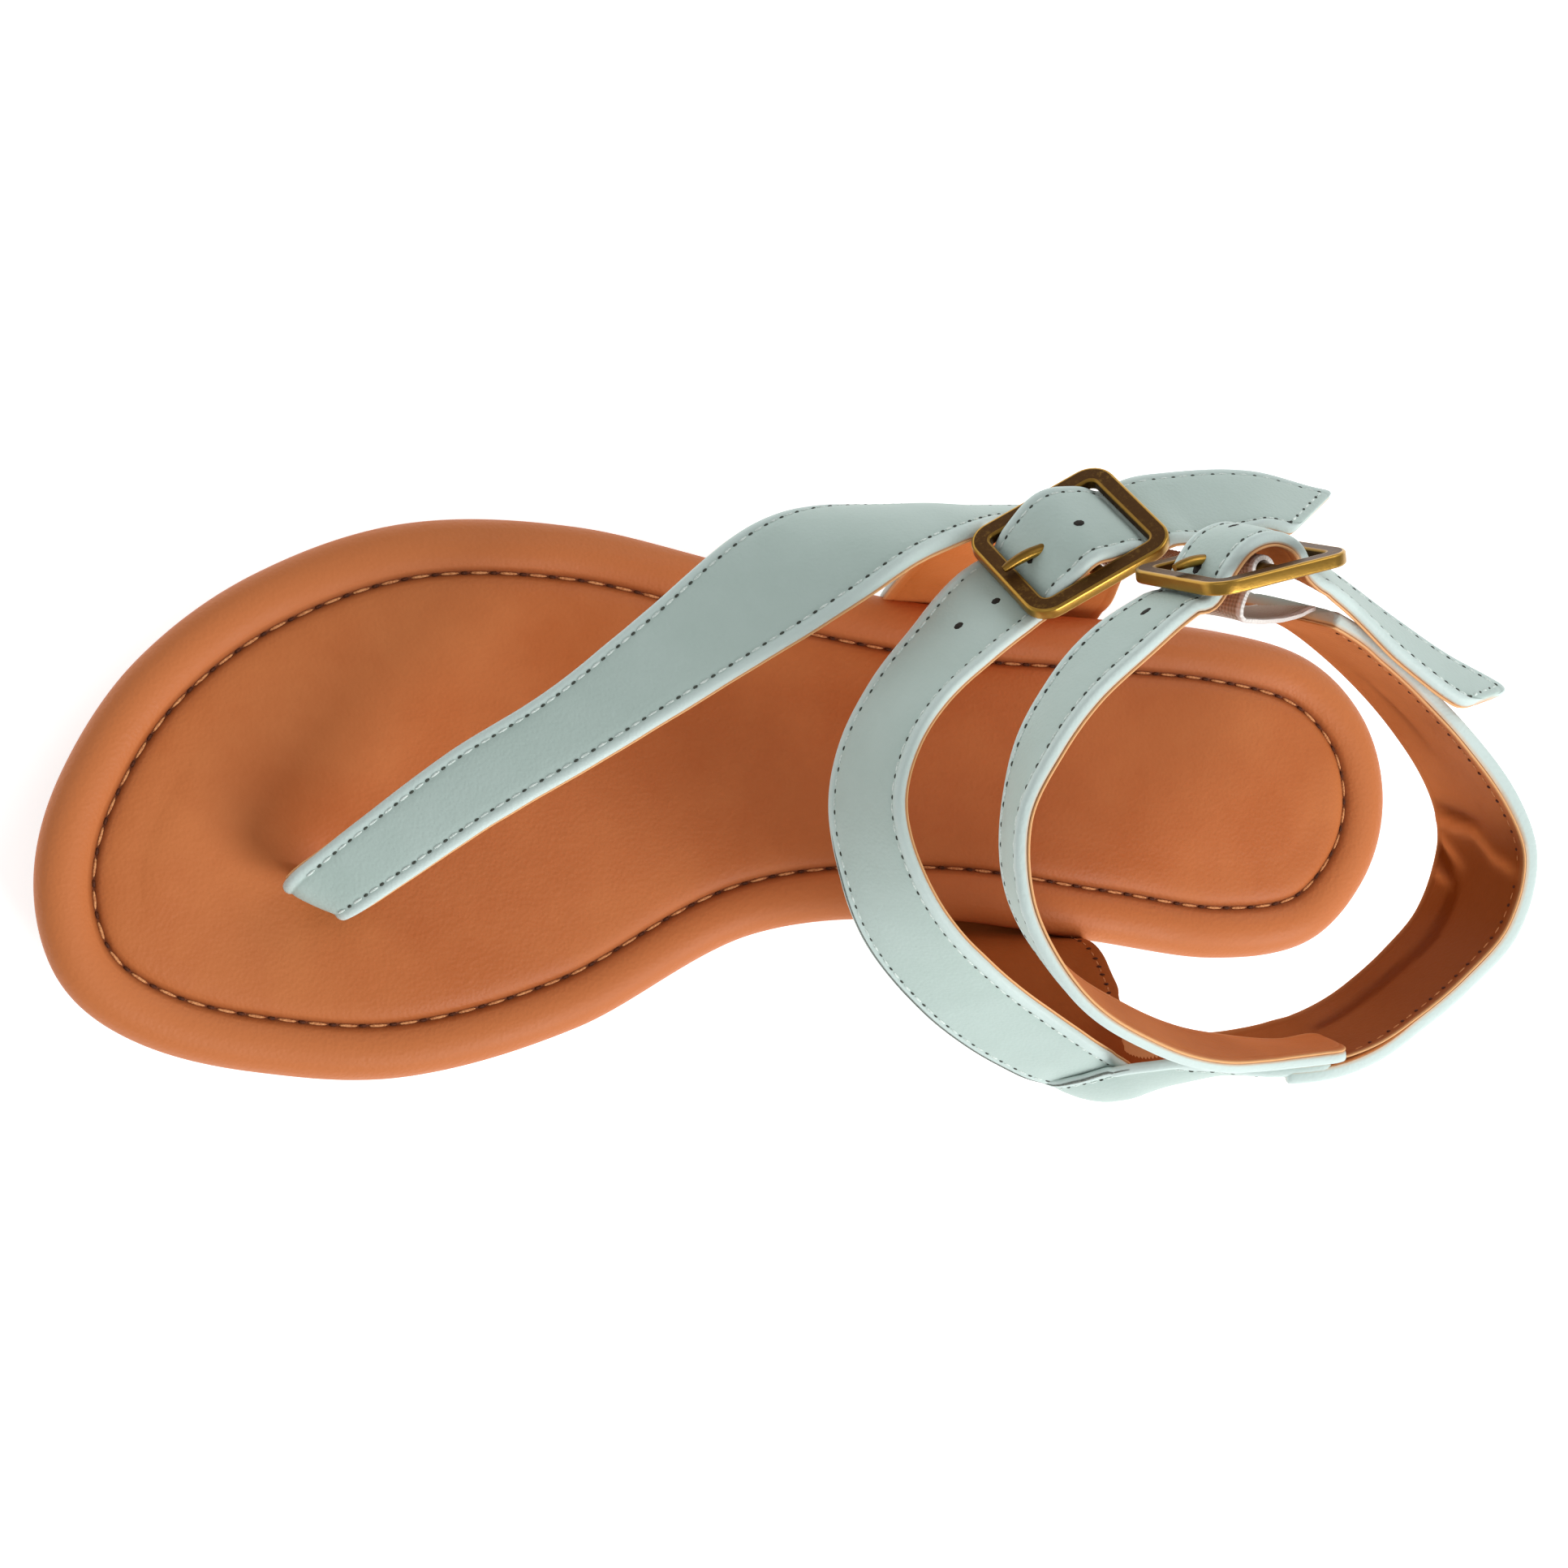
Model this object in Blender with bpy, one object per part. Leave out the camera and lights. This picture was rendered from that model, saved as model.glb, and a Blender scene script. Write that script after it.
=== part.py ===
"""Ankle strap sandal for the right foot: leather straps with two buckles on a padded footbed and a low sole.

The tables are in millimetres. X runs from the toe tip to the heel, +Y is the outer side of the foot and +Z is up.
A root empty then puts the middle of the sandal's footprint at the world origin.
"""
import math
from collections import namedtuple

import bmesh
import bpy
from mathutils import Matrix, Vector

MM = 0.001
GAP = 0.3

# Sole: length, heights and where they change along the foot
SOLE_LENGTH = 250.5
FOREFOOT_SEAT = 4.0
HEEL_SEAT = 12.0
RAMP_START = 105.0
RAMP_END = 190.0
TOE_SPRING = 5.0
TOE_BREAK = 48.0
WAIST_THICKNESS = 5.0
HEEL_BREAST = 178.0
BREAST_SLOPE = 2.0
OUTLINE_STEPS = 36

# Straps: wall of leather and lining, and the length of one facet along a strap
STRAP_WALL = 2.4
FACET_LENGTH = 3.0

# Buckles: frame along and across the strap, its bars, and the prong's wire
FRAME_LENGTH = 27.0
FRAME_WIDTH = 24.5
BAR_WIDTH = 3.2
BAR_THICKNESS = 2.2
OUTER_CORNER = 4.4
INNER_CORNER = 1.2
CENTRE_BAR_RADIUS = 1.1
PRONG_RADIUS = 0.8
PRONG_LOOP_RADIUS = CENTRE_BAR_RADIUS + GAP + PRONG_RADIUS
ELASTIC_WALL = 1.8
ELASTIC_LOOP_INNER = CENTRE_BAR_RADIUS + GAP
ELASTIC_LOOP_OUTER = ELASTIC_LOOP_INNER + ELASTIC_WALL / 2

# Outline of the footbed at equal turns of the angle whose cosine gives the place along the foot
Edge = namedtuple("Edge", "degrees outer inner")
FOOTBED_OUTLINE = (
    Edge(0, -16.3, -16.3),
    Edge(15, 1.5, -32.5),
    Edge(30, 20.5, -42.8),
    Edge(45, 35.5, -48.6),
    Edge(60, 44.8, -50.3),
    Edge(75, 45.1, -42.8),
    Edge(90, 38.5, -26.9),
    Edge(105, 32.6, -24.6),
    Edge(120, 30.6, -28.8),
    Edge(135, 28.8, -32.6),
    Edge(150, 23.9, -30.1),
    Edge(165, 12.5, -18.3),
    Edge(180, -3.0, -3.0),
)

# Section of the footbed from its underside over the rolled edge and the sewn channel to the pad
Ring = namedtuple("Ring", "inset rise")
FOOTBED_SECTION = (
    Ring(4.0, 0.0),
    Ring(1.2, 1.3),
    Ring(0.0, 4.2),
    Ring(0.9, 6.7),
    Ring(3.2, 8.3),
    Ring(6.2, 8.5),
    Ring(8.6, 7.7),
    Ring(9.5, 6.8),
    Ring(10.4, 7.7),
    Ring(13.0, 8.3),
    Ring(17.0, 8.5),
)
OUTSOLE_SECTION = (
    Ring(4.2, 0.0),
    Ring(3.0, 1.2),
    Ring(2.2, None),
)

# Straps: middle of the wall, width, the turn and rise in degrees of the width, and the bulge of the wall's middle
Row = namedtuple("Row", "x y z width turn rise bulge", defaults=(0.0,))
VAMP_STRAP = (
    Row(49.6, -16.6, 5.2, 11.0, -25, 0),
    Row(48.2, -17.4, 13.0, 11.0, -25, 2),
    Row(45.6, -18.9, 19.6, 11.2, -25, 6),
    Row(44.4, -18.7, 23.0, 11.6, -26, 12),
    Row(47.4, -16.2, 26.4, 12.0, -34, 14),
    Row(54.0, -11.0, 29.4, 12.8, -48, 14),
    Row(67.5, -0.6, 35.5, 13.9, -60, 17),
    Row(82.6, 9.3, 42.0, 14.6, -63, 20),
    Row(98.6, 21.4, 48.5, 17.9, -64, 27),
    Row(115.9, 34.2, 52.8, 23.1, -53, 40, 0.5),
    Row(129.4, 40.6, 52.6, 25.0, -46, 57, 1.8),
    Row(142.3, 43.0, 49.8, 18.0, -44, 63, 1.8),
    Row(154.0, 44.4, 46.2, 13.4, -65, 75, 0.6),
    Row(168.0, 45.2, 47.6, 13.6, -80, 80),
    Row(180.0, 44.3, 51.6, 14.0, -95, 80),
    Row(190.0, 42.4, 55.0, 14.0, -100, 80),
)
QUARTERS = (
    Row(168.0, 43.2, 50.5, 34.0, 0, 0),
    Row(168.0, 44.2, 44.0, 36.0, 0, 0),
    Row(168.5, 44.2, 38.0, 38.0, 0, 0),
    Row(169.0, 41.6, 31.0, 40.0, 0, 0),
    Row(170.0, 37.2, 21.5, 43.0, 0, 2),
    Row(170.5, 34.3, 15.8, 44.0, 0, 4),
    Row(170.8, 32.4, 12.2, 43.0, 0, 5),
    Row(171.2, 28.0, 10.2, 40.0, 0, 5),
    Row(172.0, 18.0, 10.1, 35.0, 0, 5),
    Row(172.5, 0.0, 10.1, 32.0, 0, 5),
    Row(173.0, -16.0, 10.1, 33.0, 0, 5),
    Row(173.3, -23.6, 10.4, 34.0, 0, 5),
    Row(173.4, -27.4, 12.2, 34.5, 0, 4),
    Row(173.0, -29.2, 15.8, 34.0, 1, 3),
    Row(171.2, -31.2, 22.0, 29.6, 4, 0, 0.3),
    Row(171.4, -36.1, 29.0, 25.2, 9, -2, 1.0),
    Row(173.0, -42.2, 35.7, 21.6, 21, -4, 4.2),
    Row(175.6, -46.0, 41.5, 19.2, 31, -8, 7.2),
    Row(177.6, -46.2, 47.3, 16.6, 28, -14, 7.8),
    Row(180.3, -45.7, 53.4, 15.0, 19, -22, 6.6),
    Row(183.8, -45.2, 59.5, 17.0, 11, -34, 4.8),
    Row(189.4, -44.5, 65.4, 20.8, 11, -42, 3.0),
)
INSTEP_STRAP = (
    Row(178.0, -50.0, 50.8, 11.0, 36, 62),
    Row(171.5, -48.1, 50.2, 16.5, 40, 62),
    Row(165.0, -46.0, 51.6, 18.4, 44, 61),
    Row(155.9, -41.4, 54.0, 18.6, 37, 56),
    Row(145.3, -34.6, 58.0, 18.6, 31, 56),
    Row(134.4, -25.2, 63.0, 18.2, 24, 60),
    Row(127.5, -15.4, 67.0, 17.5, 21, 66),
    Row(123.9, -4.4, 69.0, 17.2, 1, 69),
    Row(125.4, 5.4, 69.3, 17.2, -20, 69),
    Row(131.0, 14.6, 68.8, 17.2, -49, 66),
    Row(139.9, 23.2, 67.2, 17.2, -65, 58),
)
INSTEP_TAIL = (
    Row(180.0, 46.3, 66.6, 17.8, -80, 54),
    Row(195.5, 47.5, 65.5, 18.2, -98, 53),
    Row(206.8, 45.9, 65.5, 18.2, -112, 52),
)
ANKLE_STRAP = (
    Row(203.8, -43.5, 80.2, 13.5, -100, 82),
    Row(195.9, -44.6, 79.8, 13.5, -80, 85),
    Row(185.6, -44.0, 80.8, 13.5, -60, 76),
    Row(173.0, -42.1, 84.4, 13.5, -66, 66),
    Row(161.2, -38.1, 88.4, 13.5, -78, 64),
    Row(149.6, -32.0, 92.1, 13.5, -91, 66),
    Row(141.9, -24.0, 94.2, 13.5, -109, 70),
    Row(137.5, -15.4, 96.0, 13.5, -133, 73),
    Row(136.6, -4.7, 97.5, 13.5, -158, 77),
    Row(140.0, 5.5, 98.2, 13.5, -103, 77),
    Row(146.0, 14.0, 97.6, 13.5, -96, 70),
    Row(154.0, 21.4, 96.6, 13.5, -76, 69),
)
ANKLE_TAIL = (
    Row(197.3, 31.0, 89.6, 13.5, -95, 56),
    Row(208.3, 24.1, 87.8, 13.5, -108, 52),
    Row(218.3, 18.5, 86.5, 13.5, -118, 50),
    Row(228.3, 14.0, 85.1, 13.5, -126, 48),
)
HEEL_STRAP = (
    Row(196.5, -44.2, 70.5, 23.0, 14, -54, 2.0),
    Row(204.0, -42.8, 73.2, 23.0, 56, -74, 1.2),
    Row(214.0, -38.4, 73.0, 23.6, 75, -80, 0.6),
    Row(224.6, -31.2, 72.5, 24.2, 110, -83),
    Row(232.6, -23.0, 72.5, 24.4, 129, -83),
    Row(236.2, -11.8, 72.5, 24.4, 116, -83),
    Row(233.8, -2.6, 72.5, 24.4, 80, -84),
    Row(225.8, 8.0, 73.0, 24.6, 60, -82),
    Row(214.8, 17.6, 74.5, 24.2, 68, -81),
    Row(203.0, 24.3, 78.4, 23.0, 70, -81),
    Row(191.6, 28.2, 83.2, 21.0, 70, -84),
)
TIP_SLANT = 15.0

# Buckles: middle of the frame, and the directions along and across its strap
Buckle = namedtuple("Buckle", "name centre along across strap_width")
INSTEP_BUCKLE = Buckle("instep", (159.8, 39.6, 68.0), (0.857, 0.496, 0.152), (0.21, -0.60, 0.775), 17.2)
ANKLE_BUCKLE = Buckle("ankle", (176.7, 34.3, 94.2), (0.965, 0.235, -0.10), (0.06, -0.19, 0.98), 13.5)

# Strap through a buckle: under the near bar, over the centre bar, under the far bar
Arch = namedtuple("Arch", "along outward")
STRAP_ARCH = (
    Arch(-14.0, -3.2),
    Arch(-11.0, -3.1),
    Arch(-9.0, -1.8),
    Arch(-6.6, 1.4),
    Arch(-3.6, 4.0),
    Arch(0.0, 5.0),
    Arch(3.6, 4.0),
    Arch(6.6, 1.4),
    Arch(9.0, -1.8),
    Arch(11.0, -3.1),
    Arch(14.0, -3.3),
)
PRONG_REACH = (
    Arch(-2.6, 1.9),
    Arch(-5.0, 1.9),
    Arch(-7.4, 2.4),
    Arch(-9.8, 2.5),
    Arch(-12.4, 2.2),
)

# Elastic bands: from the fold round the centre bar, then rows to the leather that they are sewn to
INSTEP_ELASTIC_START = (
    Arch(1.1, -1.3),
    Arch(3.4, -3.6),
    Arch(6.4, -5.8),
)
INSTEP_ELASTIC_WIDTH = 13.0
INSTEP_ELASTIC = (
    Row(176.0, 38.4, 60.6, 13.0, -80, 62),
    Row(184.5, 39.4, 57.6, 13.0, -95, 76),
)
ANKLE_ELASTIC_START = (
    Arch(-1.2, -1.2),
    Arch(-3.6, -3.3),
    Arch(-4.9, -6.0),
)
ANKLE_ELASTIC_WIDTH = 12.0
ANKLE_ELASTIC = (
    Row(175.8, 25.7, 92.2, 12.0, -80, 79),
    Row(181.4, 26.5, 88.6, 12.0, -85, 80),
    Row(187.3, 27.7, 85.2, 12.0, -95, 82),
    Row(190.9, 28.45, 83.6, 12.0, -105, 84),
)

# Finish: base colour, roughness, metallic
LEATHER_MINT = ((0.42, 0.55, 0.52), 0.55, 0.0)
LEATHER_TAN = ((0.48, 0.17, 0.055), 0.5, 0.0)
RUBBER_BROWN = ((0.16, 0.075, 0.035), 0.7, 0.0)
BRASS_ANTIQUE = ((0.22, 0.14, 0.05), 0.38, 1.0)
ELASTIC_BEIGE = ((0.55, 0.48, 0.42), 0.8, 0.0)


def clear_scene():
    for old in list(bpy.data.objects):
        bpy.data.objects.remove(old, do_unlink=True)


def make_material(name, finish):
    colour, roughness, metallic = finish
    material = bpy.data.materials.new(name)
    material.use_nodes = True
    shader = material.node_tree.nodes["Principled BSDF"]
    shader.inputs["Base Color"].default_value = (*colour, 1.0)
    shader.inputs["Roughness"].default_value = roughness
    shader.inputs["Metallic"].default_value = metallic
    return material


def make_object(name, bm, root, material=None):
    """Turn a bmesh in millimetres into an object in metres; without a material it is a cutter or a strap to join."""
    bmesh.ops.recalc_face_normals(bm, faces=bm.faces)
    bmesh.ops.scale(bm, vec=(MM, MM, MM), verts=bm.verts)
    mesh = bpy.data.meshes.new(name)
    bm.to_mesh(mesh)
    bm.free()
    piece = bpy.data.objects.new(name, mesh)
    piece.parent = root
    bpy.context.scene.collection.objects.link(piece)
    if material is None:
        piece.hide_render = True
        piece.display_type = 'WIRE'
    else:
        mesh.materials.append(material)
        mesh.shade_smooth()
        mesh.set_sharp_from_angle(angle=math.radians(35))
    return piece


def join_or_cut(piece, operation, other):
    modifier = piece.modifiers.new(other.name, 'BOOLEAN')
    modifier.operation = operation
    modifier.solver = 'EXACT'
    modifier.object = other


def skin(rings, cap_ends=True, loop=False):
    """A closed mesh through rings that have equal numbers of points."""
    bm = bmesh.new()
    loops = [[bm.verts.new(point) for point in ring] for ring in rings]
    pairs = list(zip(loops, loops[1:]))
    if loop:
        pairs.append((loops[-1], loops[0]))
    for near, far in pairs:
        for k in range(len(near)):
            after = (k + 1) % len(near)
            bm.faces.new((near[k], near[after], far[after], far[k]))
    if cap_ends and not loop:
        bm.faces.new(loops[0])
        bm.faces.new(loops[-1])
    return bm


def smooth_step(start, end, value):
    share = min(max((value - start) / (end - start), 0.0), 1.0)
    return share * share * (3.0 - 2.0 * share)


def hermite(before, near, far, after, share):
    """Smooth curve between near and far, whose slopes come from the neighbours; values are (place, list) pairs."""
    span = far[0] - near[0]
    values = []
    for a, b, c, d in zip(before[1], near[1], far[1], after[1]):
        slope_b = (c - a) / (far[0] - before[0]) * span
        slope_c = (d - b) / (after[0] - near[0]) * span
        t = share
        values.append(
            (2 * t**3 - 3 * t**2 + 1) * b + (t**3 - 2 * t**2 + t) * slope_b
            + (3 * t**2 - 2 * t**3) * c + (t**3 - t**2) * slope_c
        )
    return values


# Sole

def footbed_edge():
    """Outline of the footbed from the toe round the outer side to the heel and back along the inner side."""
    outer = [row.outer for row in FOOTBED_OUTLINE]
    inner = [row.inner for row in FOOTBED_OUTLINE[-2:0:-1]]
    sides = outer + inner
    turn = 2 * math.pi / len(sides)

    def point(angle):
        place = angle / turn
        first = math.floor(place)
        rows = [(first + k, [sides[(first + k) % len(sides)]]) for k in (-1, 0, 1, 2)]
        side = hermite(*rows, place - first)[0]
        return Vector((SOLE_LENGTH / 2 * (1 - math.cos(angle)), side))

    return point


def inset_outline(inset):
    """The footbed's outline, moved in by a distance, as points in pairs across the foot."""
    point = footbed_edge()
    small = 0.01
    outline = []
    for k in range(2 * OUTLINE_STEPS):
        angle = math.pi * k / OUTLINE_STEPS
        tangent = (point(angle + small) - point(angle - small)).normalized()
        inward = Vector((tangent.y, -tangent.x))
        outline.append(point(angle) + inset * inward)
    return outline


def toe_lift(x):
    return TOE_SPRING * (max(TOE_BREAK - x, 0.0) / TOE_BREAK) ** 2


def seat_height(x):
    """Top of the sole: low under the ball, raised under the heel, sprung up at the toe."""
    ramp = smooth_step(RAMP_START, RAMP_END, x)
    return FOREFOOT_SEAT + (HEEL_SEAT - FOREFOOT_SEAT) * ramp + toe_lift(x)


def sole_body(rings):
    """A closed mesh through outline rings, whose ends are closed by strips that run straight across the foot."""
    bm = skin(rings, cap_ends=False)
    bm.verts.ensure_lookup_table()
    count = 2 * OUTLINE_STEPS
    for start in (0, (len(rings) - 1) * count):
        ring = [bm.verts[start + k] for k in range(count)]
        bm.faces.new((ring[0], ring[1], ring[-1]))
        for k in range(1, OUTLINE_STEPS - 1):
            bm.faces.new((ring[k], ring[k + 1], ring[-k - 1], ring[-k]))
        middle = OUTLINE_STEPS
        bm.faces.new((ring[middle - 1], ring[middle], ring[middle + 1]))
    return bm


def make_outsole(root, material):
    rings = []
    for row in OUTSOLE_SECTION:
        ring = []
        for point in inset_outline(row.inset):
            height = seat_height(point.x) if row.rise is None else toe_lift(point.x) + row.rise
            ring.append((point.x, point.y, height))
        rings.append(ring)
    return make_object("outsole", sole_body(rings), root, material)


def make_footbed(root, material):
    rings = []
    for row in FOOTBED_SECTION:
        rings.append([(p.x, p.y, seat_height(p.x) + GAP + row.rise) for p in inset_outline(row.inset)])
    return make_object("footbed", sole_body(rings), root, material)


def make_waist_cutter(root):
    """Hollow under the waist: it rises from the ball with the seat and ends at the upright heel breast."""
    depth = 1.0
    reach = 80.0
    steps = 12
    profile = [(RAMP_START, -depth)]
    for k in range(steps + 1):
        x = RAMP_START + (HEEL_BREAST - RAMP_START) * k / steps
        profile.append((x, max(seat_height(x) - WAIST_THICKNESS, -depth / 2)))
    profile.append((HEEL_BREAST + BREAST_SLOPE, -depth))
    rings = [[(x, side, z) for x, z in profile] for side in (-reach, reach)]
    return make_object("waist_cutter", skin(rings), root)


# Straps

def direction(turn, rise):
    turn, rise = math.radians(turn), math.radians(rise)
    return Vector((math.cos(rise) * math.cos(turn), math.cos(rise) * math.sin(turn), math.sin(rise)))


Section = namedtuple("Section", "middle width bulge along across outward")


def strap_sections(rows):
    """Sections along a strap, with the directions along it, across it and out of its wall."""
    stations = []
    place = 0.0
    for row in rows:
        middle = Vector((row.x, row.y, row.z))
        if stations:
            place += (middle - Vector(stations[-1][1][:3])).length
        stations.append((place, [*middle, row.width, row.bulge, *direction(row.turn, row.rise)]))
    first, last = stations[0], stations[-1]
    before = (2 * first[0] - stations[1][0], [2 * a - b for a, b in zip(first[1], stations[1][1])])
    after = (2 * last[0] - stations[-2][0], [2 * a - b for a, b in zip(last[1], stations[-2][1])])
    stations = [before, *stations, after]

    samples = []
    for k in range(1, len(stations) - 2):
        parts = max(1, math.ceil((stations[k + 1][0] - stations[k][0]) / FACET_LENGTH))
        samples += [hermite(*stations[k - 1:k + 3], step / parts) for step in range(parts)]
    samples.append(last[1])

    sections = []
    for k, sample in enumerate(samples):
        ahead = Vector(samples[min(k + 1, len(samples) - 1)][:3])
        behind = Vector(samples[max(k - 1, 0)][:3])
        along = (ahead - behind).normalized()
        across = Vector(sample[5:])
        across = (across - across.dot(along) * along).normalized()
        outward = across.cross(along)
        sections.append(Section(Vector(sample[:3]), sample[3], sample[4], along, across, outward))
    return sections


def strap_body(rows, wall=STRAP_WALL, margin=0.0, slant=0.0):
    """A closed band along rows; margin thickens, widens and lengthens it, and slant cuts its last end askew."""
    shares = (-1.0, -0.5, 0.0, 0.5, 1.0) if any(row.bulge for row in rows) else (-1.0, 0.0, 1.0)
    rings = []
    sections = strap_sections(rows)
    end = sections[-1].middle
    for section in sections:
        half = (section.width / 2 + margin) * section.across
        out = (wall / 2 + margin) * section.outward
        middle = section.middle
        if section is sections[0]:
            middle = middle - margin * section.along
        skew = Vector()
        if slant:
            skew = section.along * slant / 2 * max(0.0, 1.0 - (end - middle).length / (2 * slant))
        ring = []
        for share in shares:
            bulge = section.bulge * (1 - share * share) * section.outward
            ring.append(middle + share * (half - skew) + bulge)
        rings.append([point + out for point in ring] + [point - out for point in reversed(ring)])
    return skin(rings)


def buckle_axes(buckle):
    along = Vector(buckle.along).normalized()
    across = Vector(buckle.across)
    across = (across - across.dot(along) * along).normalized()
    return across, along, across.cross(along)


def buckle_point(buckle, along, outward):
    _, along_axis, outward_axis = buckle_axes(buckle)
    return Vector(buckle.centre) + along * along_axis + outward * outward_axis


def rows_through(buckle, arch, width):
    """Strap rows that follow an arch through a buckle, as wide as the strap is there."""
    across = buckle_axes(buckle)[0]
    turn = math.degrees(math.atan2(across.y, across.x))
    rise = math.degrees(math.asin(across.z))
    return tuple(Row(*buckle_point(buckle, a.along, a.outward), width, turn, rise) for a in arch)


# Buckles

def place_on(piece, buckle):
    across, along, outward = buckle_axes(buckle)
    turn = Matrix((across, along, outward)).transposed()
    piece.rotation_mode = 'QUATERNION'
    piece.rotation_quaternion = turn.to_quaternion()
    piece.location = Vector(buckle.centre) * MM


def rounded_rectangle(half_x, half_y, radius, z):
    points = []
    corner_steps = 4
    for quarter, (sx, sy) in enumerate(((1, 1), (-1, 1), (-1, -1), (1, -1))):
        for k in range(corner_steps + 1):
            angle = math.pi / 2 * (quarter + k / corner_steps)
            x = sx * (half_x - radius) + radius * math.cos(angle)
            y = sy * (half_y - radius) + radius * math.sin(angle)
            points.append((x, y, z))
    return points


def make_frame(buckle, root, material):
    """Cast frame with softened edges, and its centre bar across the strap."""
    soft = 0.6
    half_x, half_y = FRAME_WIDTH / 2, FRAME_LENGTH / 2
    high = BAR_THICKNESS / 2
    rings = []
    for share, z in ((0, -high + soft), (0, high - soft), (soft, high), (BAR_WIDTH - soft, high),
                     (BAR_WIDTH, high - soft), (BAR_WIDTH, -high + soft), (BAR_WIDTH - soft, -high), (soft, -high)):
        corner = OUTER_CORNER + (INNER_CORNER - OUTER_CORNER) * share / BAR_WIDTH
        rings.append(rounded_rectangle(half_x - share, half_y - share, corner, z))
    frame = make_object("buckle_frame_" + buckle.name, skin(rings, loop=True), root, material)
    bar = bmesh.new()
    bmesh.ops.create_cone(bar, cap_ends=True, segments=12, radius1=CENTRE_BAR_RADIUS, radius2=CENTRE_BAR_RADIUS,
                          depth=FRAME_WIDTH - BAR_WIDTH, matrix=Matrix.Rotation(math.pi / 2, 4, 'Y'))
    bar = make_object("centre_bar_" + buckle.name, bar, root)
    for piece in (frame, bar):
        place_on(piece, buckle)
    join_or_cut(frame, 'UNION', bar)
    return frame


def prong_path():
    """Wire of the prong: most of a turn round the centre bar, then over to rest on the near bar."""
    turns = 9
    start, end = math.radians(-140), math.radians(105)
    path = []
    for k in range(turns + 1):
        angle = start + (end - start) * k / turns
        path.append((PRONG_LOOP_RADIUS * math.cos(angle), PRONG_LOOP_RADIUS * math.sin(angle)))
    return path + list(PRONG_REACH)


def prong_body(margin=0.0):
    sides = 8
    path = [Vector((0, along, outward)) for along, outward in prong_path()]
    radius = PRONG_RADIUS + margin
    rings = []
    for k, middle in enumerate(path):
        heading = (path[min(k + 1, len(path) - 1)] - path[max(k - 1, 0)]).normalized()
        normal = heading.cross(Vector((1, 0, 0)))
        ring = []
        for s in range(sides):
            angle = 2 * math.pi * s / sides
            ring.append(middle + radius * (math.cos(angle) * normal + math.sin(angle) * Vector((1, 0, 0))))
        rings.append(ring)
    return skin(rings)


def make_prong(buckle, root, material):
    prong = make_object("buckle_prong_" + buckle.name, prong_body(), root, material)
    hole = make_object("prong_hole_" + buckle.name, prong_body(margin=GAP), root)
    for piece in (prong, hole):
        place_on(piece, buckle)
    return prong, hole


def make_elastic(buckle, start, width, rows, root, material):
    """Elastic band: a loop round the centre bar, slit for the prong, and a tail to the leather."""
    tail = rows_through(buckle, start, width) + rows
    elastic = make_object("elastic_" + buckle.name, strap_body(tail, wall=ELASTIC_WALL), root, material)
    loop_segments = 16
    for name, operation, radius, depth in (
        ("elastic_loop_", 'UNION', ELASTIC_LOOP_OUTER, width),
        ("elastic_bore_", 'DIFFERENCE', ELASTIC_LOOP_INNER, 2 * width),
    ):
        drum = bmesh.new()
        bmesh.ops.create_cone(drum, cap_ends=True, segments=loop_segments, radius1=radius, radius2=radius,
                              depth=depth, matrix=Matrix.Rotation(math.pi / 2, 4, 'Y'))
        drum = make_object(name + buckle.name, drum, root)
        place_on(drum, buckle)
        join_or_cut(elastic, operation, drum)
    slit = bmesh.new()
    slit_width = 2 * (PRONG_RADIUS + 2 * GAP)
    slit_reach = 2 * (PRONG_LOOP_RADIUS + PRONG_RADIUS + 2 * GAP)
    bmesh.ops.create_cube(slit, size=1.0)
    bmesh.ops.scale(slit, vec=(slit_width, slit_reach, slit_reach), verts=slit.verts)
    slit = make_object("elastic_slit_" + buckle.name, slit, root)
    place_on(slit, buckle)
    join_or_cut(elastic, 'DIFFERENCE', slit)
    return elastic


# Upper

def make_upper(root, material, prong_holes):
    """All straps as one shell, joined where they are sewn, with a hole for each prong."""
    instep = INSTEP_STRAP + rows_through(INSTEP_BUCKLE, STRAP_ARCH, INSTEP_BUCKLE.strap_width) + INSTEP_TAIL
    ankle = ANKLE_STRAP + rows_through(ANKLE_BUCKLE, STRAP_ARCH, ANKLE_BUCKLE.strap_width) + ANKLE_TAIL
    upper = make_object("upper", strap_body(QUARTERS + HEEL_STRAP), root, material)
    for name, rows, slant in (
        ("vamp_strap", VAMP_STRAP, 0.0),
        ("instep_strap", instep, TIP_SLANT),
        ("ankle_strap", ankle, TIP_SLANT),
    ):
        strap = make_object(name, strap_body(rows, slant=slant), root)
        join_or_cut(upper, 'UNION', strap)
    for hole in prong_holes:
        join_or_cut(upper, 'DIFFERENCE', hole)
    return upper


def centre_footprint(root, pieces):
    """Move the root so that the middle of the sandal's footprint is at the origin."""
    graph = bpy.context.evaluated_depsgraph_get()
    points = []
    for piece in pieces:
        shape = piece.evaluated_get(graph)
        points += [shape.matrix_world @ vertex.co for vertex in shape.data.vertices]
    low = [min(point[axis] for point in points) for axis in range(3)]
    high = [max(point[axis] for point in points) for axis in range(3)]
    root.location = (-(low[0] + high[0]) / 2, -(low[1] + high[1]) / 2, -low[2])


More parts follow.
